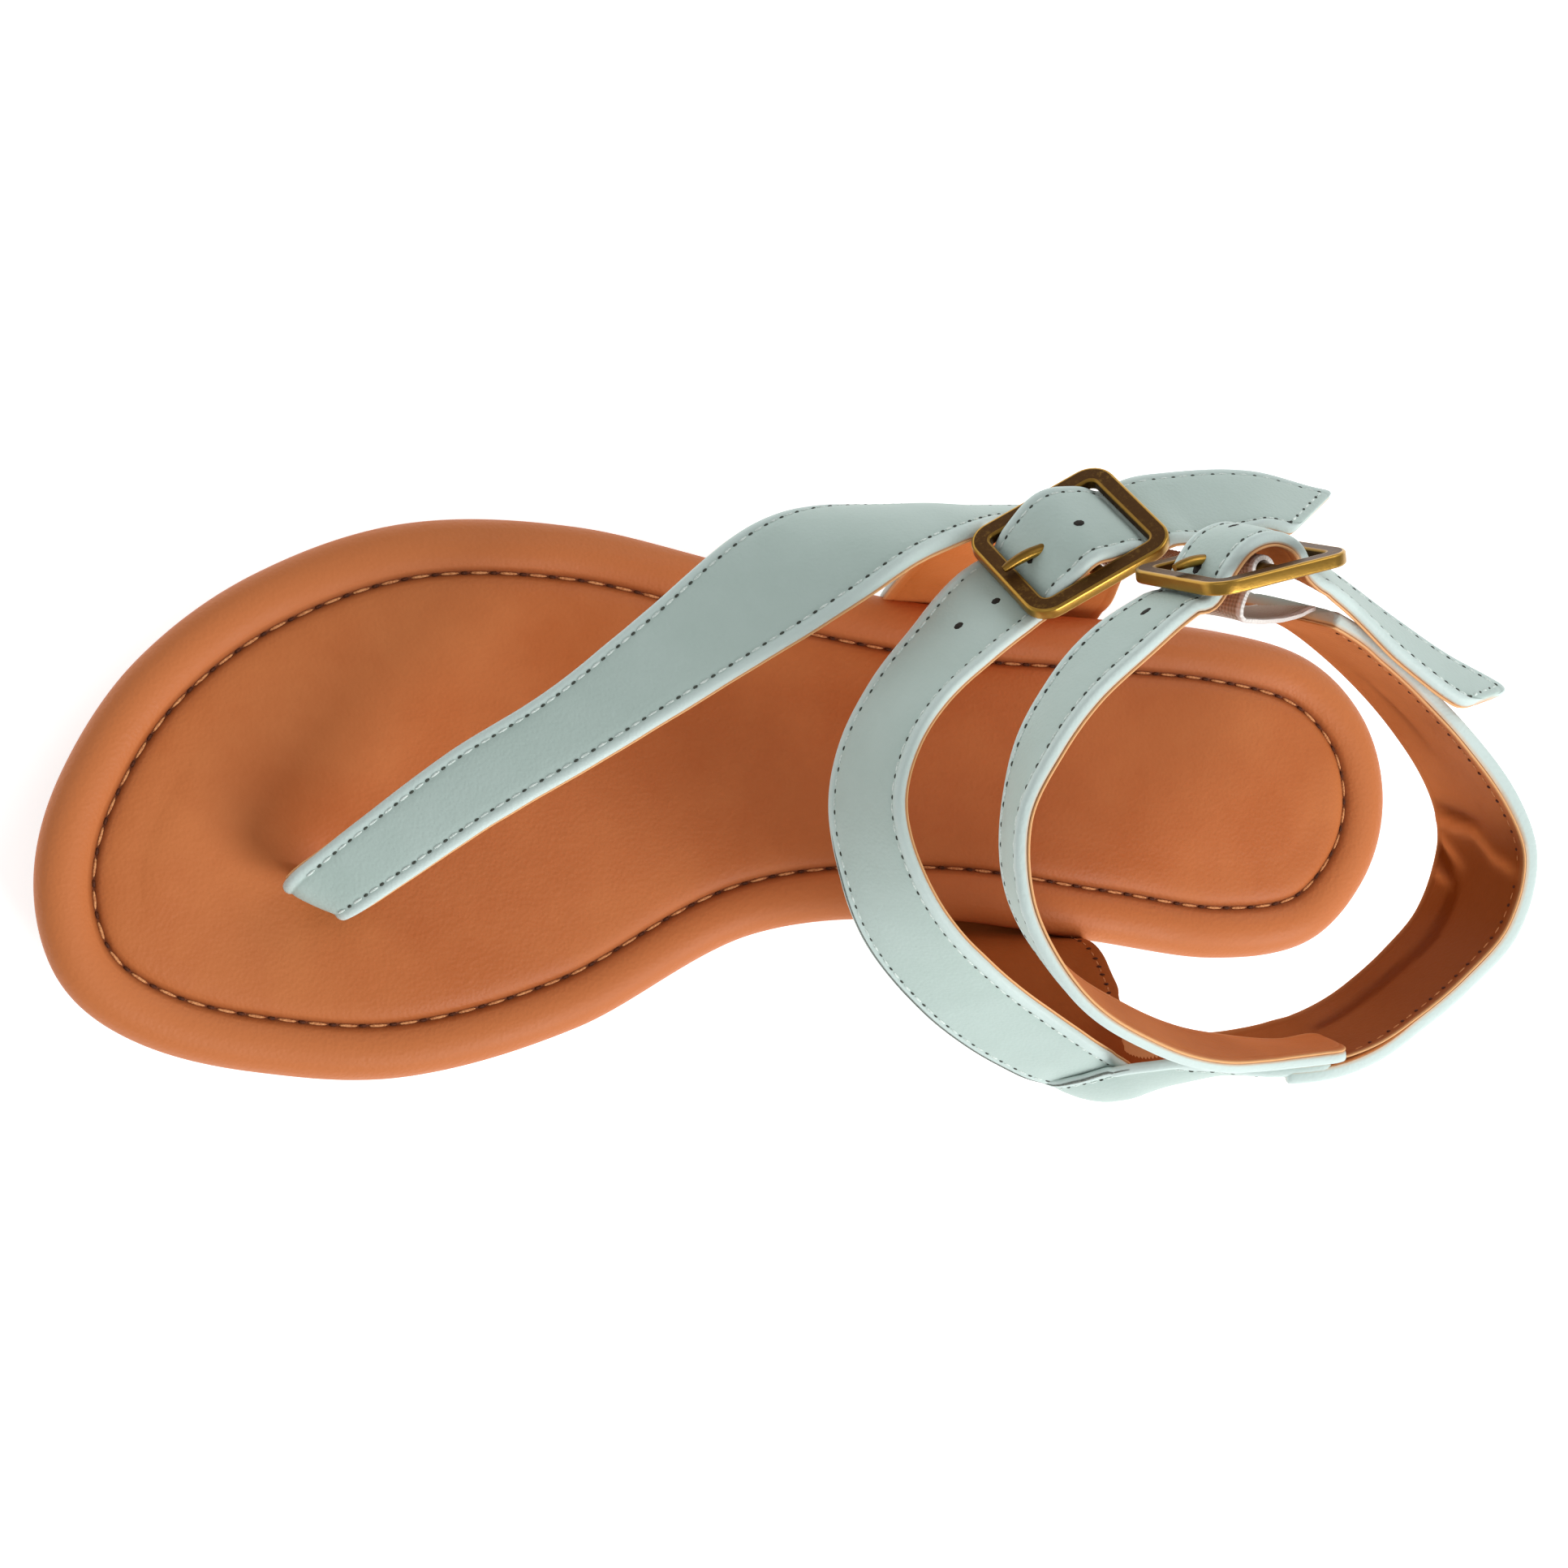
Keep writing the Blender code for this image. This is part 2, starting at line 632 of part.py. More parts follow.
def main():
    clear_scene()
    root = bpy.data.objects.new("sandal", None)
    bpy.context.scene.collection.objects.link(root)
    mint = make_material("mint_leather", LEATHER_MINT)
    tan = make_material("tan_leather", LEATHER_TAN)
    rubber = make_material("brown_rubber", RUBBER_BROWN)
    brass = make_material("antique_brass", BRASS_ANTIQUE)
    beige = make_material("beige_elastic", ELASTIC_BEIGE)

    outsole = make_outsole(root, rubber)
    footbed = make_footbed(root, tan)
    seat_of_sling = make_object("sling_recess", strap_body(QUARTERS, margin=GAP), root)
    post_slot = make_object("post_slot", strap_body(VAMP_STRAP[:5], margin=GAP), root)
    join_or_cut(outsole, 'DIFFERENCE', make_waist_cutter(root))
    join_or_cut(outsole, 'DIFFERENCE', seat_of_sling)
    join_or_cut(footbed, 'DIFFERENCE', seat_of_sling)
    join_or_cut(footbed, 'DIFFERENCE', post_slot)

    pieces = [outsole, footbed]
    holes = []
    for buckle, start, width, rows in (
        (INSTEP_BUCKLE, INSTEP_ELASTIC_START, INSTEP_ELASTIC_WIDTH, INSTEP_ELASTIC),
        (ANKLE_BUCKLE, ANKLE_ELASTIC_START, ANKLE_ELASTIC_WIDTH, ANKLE_ELASTIC),
    ):
        pieces.append(make_frame(buckle, root, brass))
        prong, hole = make_prong(buckle, root, brass)
        pieces.append(prong)
        holes.append(hole)
        pieces.append(make_elastic(buckle, start, width, rows, root, beige))
    pieces.append(make_upper(root, mint, holes))
    centre_footprint(root, pieces)


main()
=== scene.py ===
import math
from bisect import bisect_right
from collections import namedtuple

import bmesh
import bpy
from mathutils import Matrix, Vector, noise


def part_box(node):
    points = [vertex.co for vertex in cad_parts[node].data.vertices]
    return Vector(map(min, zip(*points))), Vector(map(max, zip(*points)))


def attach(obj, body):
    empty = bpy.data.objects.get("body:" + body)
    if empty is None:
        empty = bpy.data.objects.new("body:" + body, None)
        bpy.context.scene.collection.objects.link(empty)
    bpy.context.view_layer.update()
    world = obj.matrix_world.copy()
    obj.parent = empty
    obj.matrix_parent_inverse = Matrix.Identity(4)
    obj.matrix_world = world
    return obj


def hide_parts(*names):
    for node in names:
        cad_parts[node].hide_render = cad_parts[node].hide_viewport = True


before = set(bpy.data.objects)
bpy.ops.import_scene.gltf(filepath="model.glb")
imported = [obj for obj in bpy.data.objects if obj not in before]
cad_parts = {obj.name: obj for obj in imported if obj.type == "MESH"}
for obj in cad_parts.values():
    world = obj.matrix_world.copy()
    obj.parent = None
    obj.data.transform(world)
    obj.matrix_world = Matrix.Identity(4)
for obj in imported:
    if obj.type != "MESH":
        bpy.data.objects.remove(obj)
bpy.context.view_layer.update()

# Sizes in millimetres, in the pattern frame: X from the toe tip to the heel, +Y to the outer side, +Z up
MM = 0.001
GAP = 0.3
SOLE_LENGTH = 250.5
FOREFOOT_SEAT = 4.0
HEEL_SEAT = 12.0
RAMP_START = 105.0
RAMP_END = 190.0
TOE_SPRING = 5.0
TOE_BREAK = 48.0
WAIST_THICKNESS = 5.0
HEEL_BREAST = 178.0
BREAST_SLOPE = 2.0
FRAME_LENGTH = 27.0
FRAME_WIDTH = 24.5
BAR_WIDTH = 3.2
BAR_THICKNESS = 2.2
OUTER_CORNER = 4.4
CENTRE_BAR_RADIUS = 1.1
FRAME_ROUNDING = 0.45
RUBBED_RIM = 0.14
PRONG_RADIUS = 0.8
PRONG_LOOP_RADIUS = CENTRE_BAR_RADIUS + GAP + PRONG_RADIUS
TIP_SLANT = 15.0
ELASTIC_THICKNESS = 0.9
ELASTIC_CORD = 0.8
ELASTIC_PICK = 0.5
MERGE_DISTANCE = 0.002

# Outline of the footbed at equal turns of the angle whose cosine gives the place along the foot
Edge = namedtuple("Edge", "degrees outer inner")
FOOTBED_OUTLINE = (
    Edge(0, -16.3, -16.3),
    Edge(15, 1.5, -32.5),
    Edge(30, 20.5, -42.8),
    Edge(45, 35.5, -48.6),
    Edge(60, 44.8, -50.3),
    Edge(75, 45.1, -42.8),
    Edge(90, 38.5, -26.9),
    Edge(105, 32.6, -24.6),
    Edge(120, 30.6, -28.8),
    Edge(135, 28.8, -32.6),
    Edge(150, 23.9, -30.1),
    Edge(165, 12.5, -18.3),
    Edge(180, -3.0, -3.0),
)
CAD_OUTLINE_STEPS = 72

# Straps: middle of the wall, width, turn and rise of the width in degrees, bulge of the wall's middle
Row = namedtuple("Row", "x y z width turn rise bulge", defaults=(0.0,))
VAMP_STRAP = (
    Row(49.6, -16.6, 5.2, 11.0, -25, 0),
    Row(48.2, -17.4, 13.0, 11.0, -25, 2),
    Row(45.6, -18.9, 19.6, 11.2, -25, 6),
    Row(44.4, -18.7, 23.0, 11.6, -26, 12),
    Row(47.4, -16.2, 26.4, 12.0, -34, 14),
    Row(54.0, -11.0, 29.4, 12.8, -48, 14),
    Row(67.5, -0.6, 35.5, 13.9, -60, 17),
    Row(82.6, 9.3, 42.0, 14.6, -63, 20),
    Row(98.6, 21.4, 48.5, 17.9, -64, 27),
    Row(115.9, 34.2, 52.8, 23.1, -53, 40, 0.5),
    Row(129.4, 40.6, 52.6, 25.0, -46, 57, 1.8),
    Row(142.3, 43.0, 49.8, 18.0, -44, 63, 1.8),
    Row(154.0, 44.4, 46.2, 13.4, -65, 75, 0.6),
    Row(168.0, 45.2, 47.6, 13.6, -80, 80),
    Row(180.0, 44.3, 51.6, 14.0, -95, 80),
    Row(190.0, 42.4, 55.0, 14.0, -100, 80),
)
QUARTERS = (
    Row(168.0, 43.2, 50.5, 34.0, 0, 0),
    Row(168.0, 44.2, 44.0, 36.0, 0, 0),
    Row(168.5, 44.2, 38.0, 38.0, 0, 0),
    Row(169.0, 41.6, 31.0, 40.0, 0, 0),
    Row(170.0, 37.2, 21.5, 43.0, 0, 2),
    Row(170.5, 34.3, 15.8, 44.0, 0, 4),
    Row(170.8, 32.4, 12.2, 43.0, 0, 5),
    Row(171.2, 28.0, 10.2, 40.0, 0, 5),
    Row(172.0, 18.0, 10.1, 35.0, 0, 5),
    Row(172.5, 0.0, 10.1, 32.0, 0, 5),
    Row(173.0, -16.0, 10.1, 33.0, 0, 5),
    Row(173.3, -23.6, 10.4, 34.0, 0, 5),
    Row(172.4, -27.4, 12.2, 32.5, 0, 4),
    Row(171.4, -29.2, 15.8, 30.8, 1, 3),
    Row(171.2, -31.2, 22.0, 29.6, 4, 0, 0.3),
    Row(171.4, -36.1, 29.0, 25.2, 9, -2, 1.0),
    Row(173.0, -42.2, 35.7, 21.6, 21, -4, 4.2),
    Row(175.6, -46.0, 41.5, 19.2, 31, -8, 7.2),
    Row(177.6, -46.2, 47.3, 16.6, 28, -14, 7.8),
    Row(180.3, -45.7, 53.4, 15.0, 19, -22, 6.6),
    Row(183.8, -45.2, 59.5, 17.0, 11, -34, 4.8),
    Row(189.4, -44.5, 65.4, 20.8, 11, -42, 3.0),
)
HEEL_STRAP = (
    Row(196.5, -44.2, 70.5, 23.0, 24, -54, 2.0),
    Row(204.0, -42.8, 73.2, 23.0, 56, -74, 1.2),
    Row(214.0, -38.4, 73.0, 23.6, 75, -80, 0.6),
    Row(224.6, -31.2, 72.5, 24.2, 110, -83),
    Row(232.6, -23.0, 72.5, 24.4, 129, -83),
    Row(236.2, -11.8, 72.5, 24.4, 116, -83),
    Row(233.8, -2.6, 72.5, 24.4, 80, -84),
    Row(225.8, 8.0, 73.0, 24.6, 60, -82),
    Row(214.8, 17.6, 74.5, 24.2, 68, -81),
    Row(203.0, 24.3, 78.4, 23.0, 70, -81),
    Row(191.6, 28.2, 83.2, 21.0, 70, -84),
)
INSTEP_STRAP = (
    Row(178.0, -50.0, 50.8, 11.0, 36, 62),
    Row(171.5, -48.1, 50.2, 16.5, 40, 62),
    Row(165.0, -46.0, 51.6, 18.4, 44, 61),
    Row(155.9, -41.4, 54.0, 18.6, 37, 56),
    Row(145.3, -34.6, 58.0, 18.6, 31, 56),
    Row(134.4, -25.2, 63.0, 18.2, 24, 60),
    Row(127.5, -15.4, 67.0, 17.5, 21, 66),
    Row(123.9, -4.4, 69.0, 17.2, 1, 69),
    Row(125.4, 5.4, 69.3, 17.2, -20, 69),
    Row(131.0, 14.6, 68.8, 17.2, -49, 66),
    Row(139.9, 23.2, 67.2, 17.2, -65, 58),
)
INSTEP_TAIL = (
    Row(180.0, 45.7, 66.6, 18.0, -80, 47),
    Row(195.5, 47.5, 65.5, 18.2, -98, 53),
    Row(206.8, 45.9, 65.5, 18.2, -112, 52),
)
ANKLE_STRAP = (
    Row(203.8, -43.5, 80.2, 13.5, -100, 82),
    Row(195.9, -44.6, 79.8, 13.5, -80, 85),
    Row(185.6, -44.0, 80.8, 13.5, -60, 76),
    Row(173.0, -42.1, 84.4, 13.5, -66, 66),
    Row(161.2, -38.1, 88.4, 13.5, -78, 64),
    Row(149.6, -32.0, 92.1, 13.5, -91, 66),
    Row(141.9, -24.0, 94.2, 13.5, -109, 70),
    Row(137.5, -15.4, 96.0, 13.5, -133, 73),
    Row(136.6, -4.7, 97.5, 13.5, -158, 77),
    Row(140.0, 5.5, 98.2, 13.5, -103, 77),
    Row(146.0, 14.0, 97.6, 13.5, -96, 70),
    Row(154.0, 21.4, 96.6, 13.5, -76, 69),
)
ANKLE_TAIL = (
    Row(197.3, 31.0, 89.6, 13.5, -95, 56),
    Row(208.3, 24.1, 87.8, 13.5, -108, 52),
    Row(218.3, 18.5, 86.5, 13.5, -118, 50),
    Row(228.3, 14.0, 85.1, 13.5, -126, 48),
)

# Buckles: middle of the frame, and the directions along and across its strap
Buckle = namedtuple("Buckle", "name centre along across strap_width")
INSTEP_BUCKLE = Buckle("instep", (159.8, 39.6, 68.0), (0.857, 0.496, 0.152), (0.21, -0.60, 0.775), 17.8)
ANKLE_BUCKLE = Buckle("ankle", (176.7, 34.3, 94.2), (0.965, 0.235, -0.10), (0.06, -0.19, 0.98), 13.5)

# Strap through a buckle: under the near bar, over the centre bar, under the far bar
Arch = namedtuple("Arch", "along outward")
STRAP_ARCH = (
    Arch(-14.0, -3.2),
    Arch(-11.0, -3.1),
    Arch(-9.0, -1.8),
    Arch(-6.6, 1.4),
    Arch(-3.6, 4.0),
    Arch(0.0, 5.0),
    Arch(3.6, 4.0),
    Arch(6.6, 1.4),
    Arch(9.0, -1.8),
    Arch(11.0, -3.1),
    Arch(14.0, -3.3),
)
ANKLE_ARCH = (
    *STRAP_ARCH[:6],
    Arch(3.6, 4.5),
    Arch(6.6, 2.3),
    Arch(9.0, -1.8),
    Arch(11.0, -3.2),
    Arch(14.0, -4.2),
)
PRONG_REACH = (
    Arch(-2.6, 1.9),
    Arch(-5.0, 1.9),
    Arch(-7.4, 2.4),
    Arch(-9.8, 2.5),
    Arch(-12.4, 2.2),
)
INSTEP_ELASTIC_START = (
    Arch(3.4, -3.6),
    Arch(6.4, -5.8),
)
INSTEP_ELASTIC_WIDTH = 13.0
INSTEP_ELASTIC = (
    Row(176.0, 38.4, 60.6, 13.0, -80, 62),
    Row(184.5, 39.4, 57.6, 13.0, -95, 76),
)
ANKLE_ELASTIC_START = (
    Arch(-3.6, -3.3),
    Arch(-4.9, -6.0),
)
ANKLE_ELASTIC_WIDTH = 12.0
ANKLE_ELASTIC = (
    Row(175.8, 26.6, 92.2, 12.0, -84, 81),
    Row(181.4, 26.9, 88.6, 12.0, -88, 79),
    Row(187.3, 27.8, 85.2, 12.0, -95, 79),
    Row(190.9, 28.6, 83.6, 12.0, -105, 81),
)

# Section of a strap's leather and lining from the edge inwards: turned edge, sewn groove, crowned middle
# The rim share of a ply is how much painted highlight the turned edge gets; raw marks the cut edge and
# underside.
Ply = namedtuple("Ply", "inset height rim raw share", defaults=(0.0, 0.0, -1))
HALF_LEATHER = (
    Ply(0.40, -0.72, 0.2, 1.0),
    Ply(0.10, -0.60, 0.5, 0.6),
    Ply(0.00, -0.20, 0.9),
    Ply(0.00, 0.30, 1.0),
    Ply(0.12, 0.74, 1.0),
    Ply(0.42, 1.03, 1.0),
    Ply(0.85, 1.17, 0.9),
    Ply(1.30, 1.16, 0.7),
    Ply(1.62, 1.04, 0.4),
    Ply(1.85, 0.96, 0.1),
    Ply(2.10, 1.03),
    Ply(2.55, 1.14),
    Ply(3.30, 1.20),
)
LEATHER_UNDERSIDE = -0.72
LEATHER_CROWN = 1.28
HALF_LINING = (
    Ply(0.05, -0.76, raw=1.0),
    Ply(-0.10, -0.84, raw=1.0),
    Ply(-0.12, -1.00, raw=1.0),
    Ply(0.02, -1.13, raw=0.8),
    Ply(0.35, -1.19, raw=0.15),
    Ply(1.30, -1.21),
    Ply(1.60, -1.16),
    Ply(1.85, -1.10),
    Ply(2.10, -1.16),
    Ply(2.60, -1.21),
    Ply(3.30, -1.22),
)
LINING_TOP = -0.76
LINING_CROWN = -1.22
MIDDLE_SHARES = tuple(k / 8 for k in range(-7, 8))
SEAM_INSET = 1.85
SEAM_HEIGHT = 1.0
LINING_SEAM_HEIGHT = -1.12

# Stitches: pitch, and the half sizes of a thread and of a needle mark along, across and out of the seam
Stitch = namedtuple("Stitch", "pitch thread mark")
STRAP_STITCH = Stitch(3.2, (0.92, 0.23, 0.22), (0.45, 0.27, 0.2))
LINING_STITCH = Stitch(3.2, (0.7, 0.16, 0.12), (0.32, 0.55, 0.18))
CHANNEL_STITCH = Stitch(5.2, (1.7, 0.3, 0.3), (0.66, 0.34, 0.26))

# Section of the footbed from its underside over the rolled edge and the sewn channel to the pad
Ring = namedtuple("Ring", "inset rise")
FOOTBED_SECTION = (
    Ring(4.0, 0.0),
    Ring(2.6, 0.35),
    Ring(1.2, 1.3),
    Ring(0.35, 2.6),
    Ring(0.0, 4.2),
    Ring(0.22, 5.5),
    Ring(0.9, 6.7),
    Ring(1.9, 7.65),
    Ring(3.2, 8.3),
    Ring(4.7, 8.58),
    Ring(6.2, 8.5),
    Ring(7.4, 8.18),
    Ring(8.3, 7.72),
    Ring(8.9, 7.2),
    Ring(9.25, 6.75),
    Ring(9.5, 6.6),
    Ring(9.75, 6.75),
    Ring(10.1, 7.25),
    Ring(10.7, 7.72),
    Ring(11.7, 8.08),
    Ring(13.0, 8.3),
    Ring(15.0, 8.45),
    Ring(17.0, 8.5),
)
CHANNEL_INSET = 9.5
CHANNEL_RISE = 6.75
POST_SPOT = (48.6, -17.2)


# Curves

def smooth_step(start, end, value):
    share = min(max((value - start) / (end - start), 0.0), 1.0)
    return share * share * (3.0 - 2.0 * share)


def plateau(start, full, leave, end, value):
    """0 up to start, 1 from full to leave and 0 again from end."""
    return smooth_step(start, full, value) * (1 - smooth_step(leave, end, value))


def hump(value, centre, width):
    """1 at the centre, falling off on both sides."""
    return math.exp(-((value - centre) / width) ** 2)


def hermite(before, near, far, after, share):
    """Smooth curve from near to far, with slopes from the neighbours; each is a place and its values."""
    span = far[0] - near[0]
    values = []
    for a, b, c, d in zip(before[1], near[1], far[1], after[1]):
        slope_b = (c - a) / (far[0] - before[0]) * span
        slope_c = (d - b) / (after[0] - near[0]) * span
        t = share
        values.append(
            (2 * t**3 - 3 * t**2 + 1) * b + (t**3 - 2 * t**2 + t) * slope_b
            + (3 * t**2 - 2 * t**3) * c + (t**3 - t**2) * slope_c
        )
    return values


def direction(turn, rise):
    turn, rise = math.radians(turn), math.radians(rise)
    return Vector((math.cos(rise) * math.cos(turn), math.cos(rise) * math.sin(turn), math.sin(rise)))


def outline(angle):
    """Edge of the footbed, from the toe round the outer side to the heel and back along the inner side."""
    sides = [row.outer for row in FOOTBED_OUTLINE] + [row.inner for row in FOOTBED_OUTLINE[-2:0:-1]]
    place = angle / (2 * math.pi) * len(sides)
    first = math.floor(place)
    rows = [(first + k, [sides[(first + k) % len(sides)]]) for k in (-1, 0, 1, 2)]
    return Vector((SOLE_LENGTH / 2 * (1 - math.cos(angle)), hermite(*rows, place - first)[0]))


def inset_outline(angle, inset):
    small = 0.01
    tangent = (outline(angle + small) - outline(angle - small)).normalized()
    return outline(angle) + inset * Vector((tangent.y, -tangent.x))


def toe_lift(x):
    return TOE_SPRING * (max(TOE_BREAK - x, 0.0) / TOE_BREAK) ** 2


def seat_height(x):
    ramp = smooth_step(RAMP_START, RAMP_END, x)
    return FOREFOOT_SEAT + (HEEL_SEAT - FOREFOOT_SEAT) * ramp + toe_lift(x)


def pattern_shift():
    """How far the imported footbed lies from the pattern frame."""
    low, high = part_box("footbed")
    widest = max(outline(2 * math.pi * k / CAD_OUTLINE_STEPS).y for k in range(CAD_OUTLINE_STEPS))
    return Vector((low.x / MM, high.y / MM - widest, 0.0))


SHIFT = pattern_shift()

Section = namedtuple("Section", "middle width bulge along across outward")


class Band:
    """Middle surface of a strap along its table's rows; a place is a length along it from the first row."""

    def __init__(self, rows, slant=0.0):
        stations = []
        place = 0.0
        for row in rows:
            middle = Vector((row.x, row.y, row.z))
            if stations:
                place += (middle - Vector(stations[-1][1][:3])).length
            stations.append((place, [*middle, row.width, row.bulge, *direction(row.turn, row.rise)]))
        self.places = [station[0] for station in stations]
        self.length = place
        self.slant = slant
        first, last = stations[0], stations[-1]
        before = (2 * first[0] - stations[1][0], [2 * a - b for a, b in zip(first[1], stations[1][1])])
        after = (2 * last[0] - stations[-2][0], [2 * a - b for a, b in zip(last[1], stations[-2][1])])
        self.stations = [before, *stations, after]
        self.known = {}

    def sample(self, place):
        place = min(max(place, 0.0), self.length)
        k = 1
        while k < len(self.stations) - 3 and place > self.stations[k + 1][0]:
            k += 1
        near, far = self.stations[k], self.stations[k + 1]
        return hermite(*self.stations[k - 1:k + 3], (place - near[0]) / (far[0] - near[0]))

    def section(self, place):
        key = round(place, 4)
        if key not in self.known:
            reach = 0.8
            sample = self.sample(place)
            along = Vector(self.sample(place + reach)[:3]) - Vector(self.sample(place - reach)[:3])
            along.normalize()
            across = Vector(sample[5:])
            across = (across - across.dot(along) * along).normalized()
            self.known[key] = Section(
                Vector(sample[:3]), sample[3], sample[4], along, across, across.cross(along)
            )
        return self.known[key]

    def point(self, place, side, height):
        section = self.section(place)
        share = min(max(2 * side / section.width, -1.0), 1.0)
        point = section.middle + side * section.across
        if self.slant:
            skew = self.slant / 2 * max(0.0, 1.0 - (self.length - place) / (2 * self.slant))
            point = point - share * skew * section.along
        return point + (height + section.bulge * (1 - share * share)) * section.outward


def buckle_axes(buckle):
    along = Vector(buckle.along).normalized()
    across = Vector(buckle.across)
    across = (across - across.dot(along) * along).normalized()
    return across, along, across.cross(along)


def buckle_matrix(buckle):
    turn = Matrix(buckle_axes(buckle)).transposed()
    return Matrix.Translation(buckle.centre) @ turn.to_4x4()


def rows_through(buckle, arch, width):
    """Strap rows that follow an arch through a buckle."""
    across, along, outward = buckle_axes(buckle)
    turn = math.degrees(math.atan2(across.y, across.x))
    rise = math.degrees(math.asin(across.z))
    centre = Vector(buckle.centre)
    return tuple(Row(*(centre + a.along * along + a.outward * outward), width, turn, rise) for a in arch)


# Materials

COLOUR_A, COLOUR_B, COLOUR_OUT = 6, 7, 2


def srgb(red, green, blue):
    """Linear colour of a colour given as 0 to 255."""
    values = []
    for value in (red, green, blue):
        share = value / 255
        values.append(share / 12.92 if share <= 0.04045 else ((share + 0.055) / 1.055) ** 2.4)
    return (*values, 1.0)


def add_node(tree, kind, values=(), **settings):
    node = tree.nodes.new(kind)
    for name, setting in settings.items():
        setattr(node, name, setting)
    for socket, value in dict(values).items():
        node.inputs[socket].default_value = value
    return node


def feed(tree, socket, source):
    """Link a socket to another one, or give it a plain value."""
    if isinstance(source, bpy.types.NodeSocket):
        tree.links.new(source, socket)
    else:
        socket.default_value = source


def mix_colours(tree, factor, first, second):
    """A mix of two colours, each a socket or a plain colour."""
    mix = add_node(tree, 'ShaderNodeMix', data_type='RGBA')
    tree.links.new(factor, mix.inputs["Factor"])
    feed(tree, mix.inputs[COLOUR_A], first)
    feed(tree, mix.inputs[COLOUR_B], second)
    return mix.outputs[COLOUR_OUT]


def calculate(tree, operation, first, second=0.0):
    """A sum, product or the like of two sockets or numbers."""
    step = add_node(tree, 'ShaderNodeMath', operation=operation)
    feed(tree, step.inputs[0], first)
    feed(tree, step.inputs[1], second)
    return step.outputs[0]


def map_range(tree, value, limits):
    """Stretch a value from one range to another; a limit that isn't named is 0 or 1."""
    ramp = add_node(tree, 'ShaderNodeMapRange', limits)
    tree.links.new(value, ramp.inputs["Value"])
    return ramp.outputs["Result"]


def spread(tree, value, low, high):
    """Stretch a value between low and high to 0 to 1."""
    return map_range(tree, value, {"From Min": low, "From Max": high})


def rescale(tree, value, low, high):
    """Turn a value from 0 to 1 into one from low to high."""
    return map_range(tree, value, {"To Min": low, "To Max": high})


def effect_group(name, inputs, outputs):
    """A shader node group with named sockets, and the sockets of its two end nodes."""
    group = bpy.data.node_groups.new(name, 'ShaderNodeTree')
    for in_out, sockets in (('INPUT', inputs), ('OUTPUT', outputs)):
        for socket, kind in sockets.items():
            group.interface.new_socket(name=socket, in_out=in_out, socket_type='NodeSocket' + kind)
    return group, group.nodes.new('NodeGroupInput').outputs, group.nodes.new('NodeGroupOutput').inputs


def make_grain_group():
    """Leather grain: small cells with fine pores for the relief, and slow clouds for the colour."""
    group, start, end = effect_group(
        "leather_grain", {"Vector": "Vector", "Cells": "Float"}, {"Height": "Float", "Clouds": "Float"}
    )
    cells = add_node(group, 'ShaderNodeTexVoronoi', {"Smoothness": 0.6}, feature='SMOOTH_F1')
    pores = add_node(group, 'ShaderNodeTexNoise', {"Detail": 4.0, "Roughness": 0.6})
    clouds = add_node(group, 'ShaderNodeTexNoise', {"Scale": 55.0, "Detail": 4.0, "Roughness": 0.55})
    for texture in (cells, pores, clouds):
        group.links.new(start["Vector"], texture.inputs["Vector"])
    group.links.new(start["Cells"], cells.inputs["Scale"])
    group.links.new(calculate(group, 'MULTIPLY', start["Cells"], 0.45), pores.inputs["Scale"])
    group.links.new(calculate(group, 'ADD', cells.outputs["Distance"], pores.outputs["Fac"]), end["Height"])
    group.links.new(spread(group, clouds.outputs["Fac"], 0.32, 0.68), end["Clouds"])
    return group


def make_tones_group():
    """Colour of leather: two tones by the clouds, a painted shading tone (painted highlight along rolled
    edges, painted shade on the lining), and a tone on the cut edge, which also paints shade in the grooves
    of the pad and sole.
    """
    inputs = dict.fromkeys(TONE_NAMES, "Color")
    inputs.update(dict.fromkeys(("Clouds", "Edge", "Cut"), "Float"))
    group, start, end = effect_group("leather_tones", inputs, {"Color": "Color"})
    body = mix_colours(group, start["Clouds"], start["Dark"], start["Light"])
    edged = mix_colours(group, start["Edge"], body, start["Painted Shading Tone"])
    group.links.new(mix_colours(group, start["Cut"], edged, start["Cut Edge And Groove Shade Tone"]), end["Color"])
    return group


def make_patina_group():
    """Plated metal: how far it is rubbed bright, with speckles and fine brush lines."""
    group, start, end = effect_group(
        "rubbed_patina", {"Vector": "Vector", "Rub": "Float"}, {"Bright": "Float", "Brush": "Float"}
    )
    speckle = add_node(group, 'ShaderNodeTexNoise', {"Scale": 1300.0, "Detail": 5.0, "Roughness": 0.7})
    patch = add_node(group, 'ShaderNodeTexNoise', {"Scale": 260.0, "Detail": 3.0})
    for texture in (speckle, patch):
        group.links.new(start["Vector"], texture.inputs["Vector"])
    grains = spread(group, speckle.outputs["Fac"], 0.50, 0.72)
    patches = spread(group, patch.outputs["Fac"], 0.35, 0.75)
    wear_and_painted_shade = calculate(group, 'MULTIPLY', calculate(group, 'MULTIPLY', grains, patches), 0.4)
    edge = spread(group, start["Rub"], 0.15, 0.9)
    group.links.new(calculate(group, 'MAXIMUM', wear_and_painted_shade, edge), end["Bright"])
    group.links.new(speckle.outputs["Fac"], end["Brush"])
    return group


TONE_NAMES = ("Light", "Dark", "Painted Shading Tone", "Cut Edge And Groove Shade Tone")
GRAIN = make_grain_group()
TONES = make_tones_group()
PATINA = make_patina_group()


def new_material(name, values):
    """A material with its shader's plain values set, and its tree, shader and object coordinates."""
    material = bpy.data.materials.new(name)
    material.use_nodes = True
    tree = material.node_tree
    shader = tree.nodes["Principled BSDF"]
    for socket, value in values.items():
        shader.inputs[socket].default_value = value
    return material, tree, shader, add_node(tree, 'ShaderNodeTexCoord').outputs["Object"]


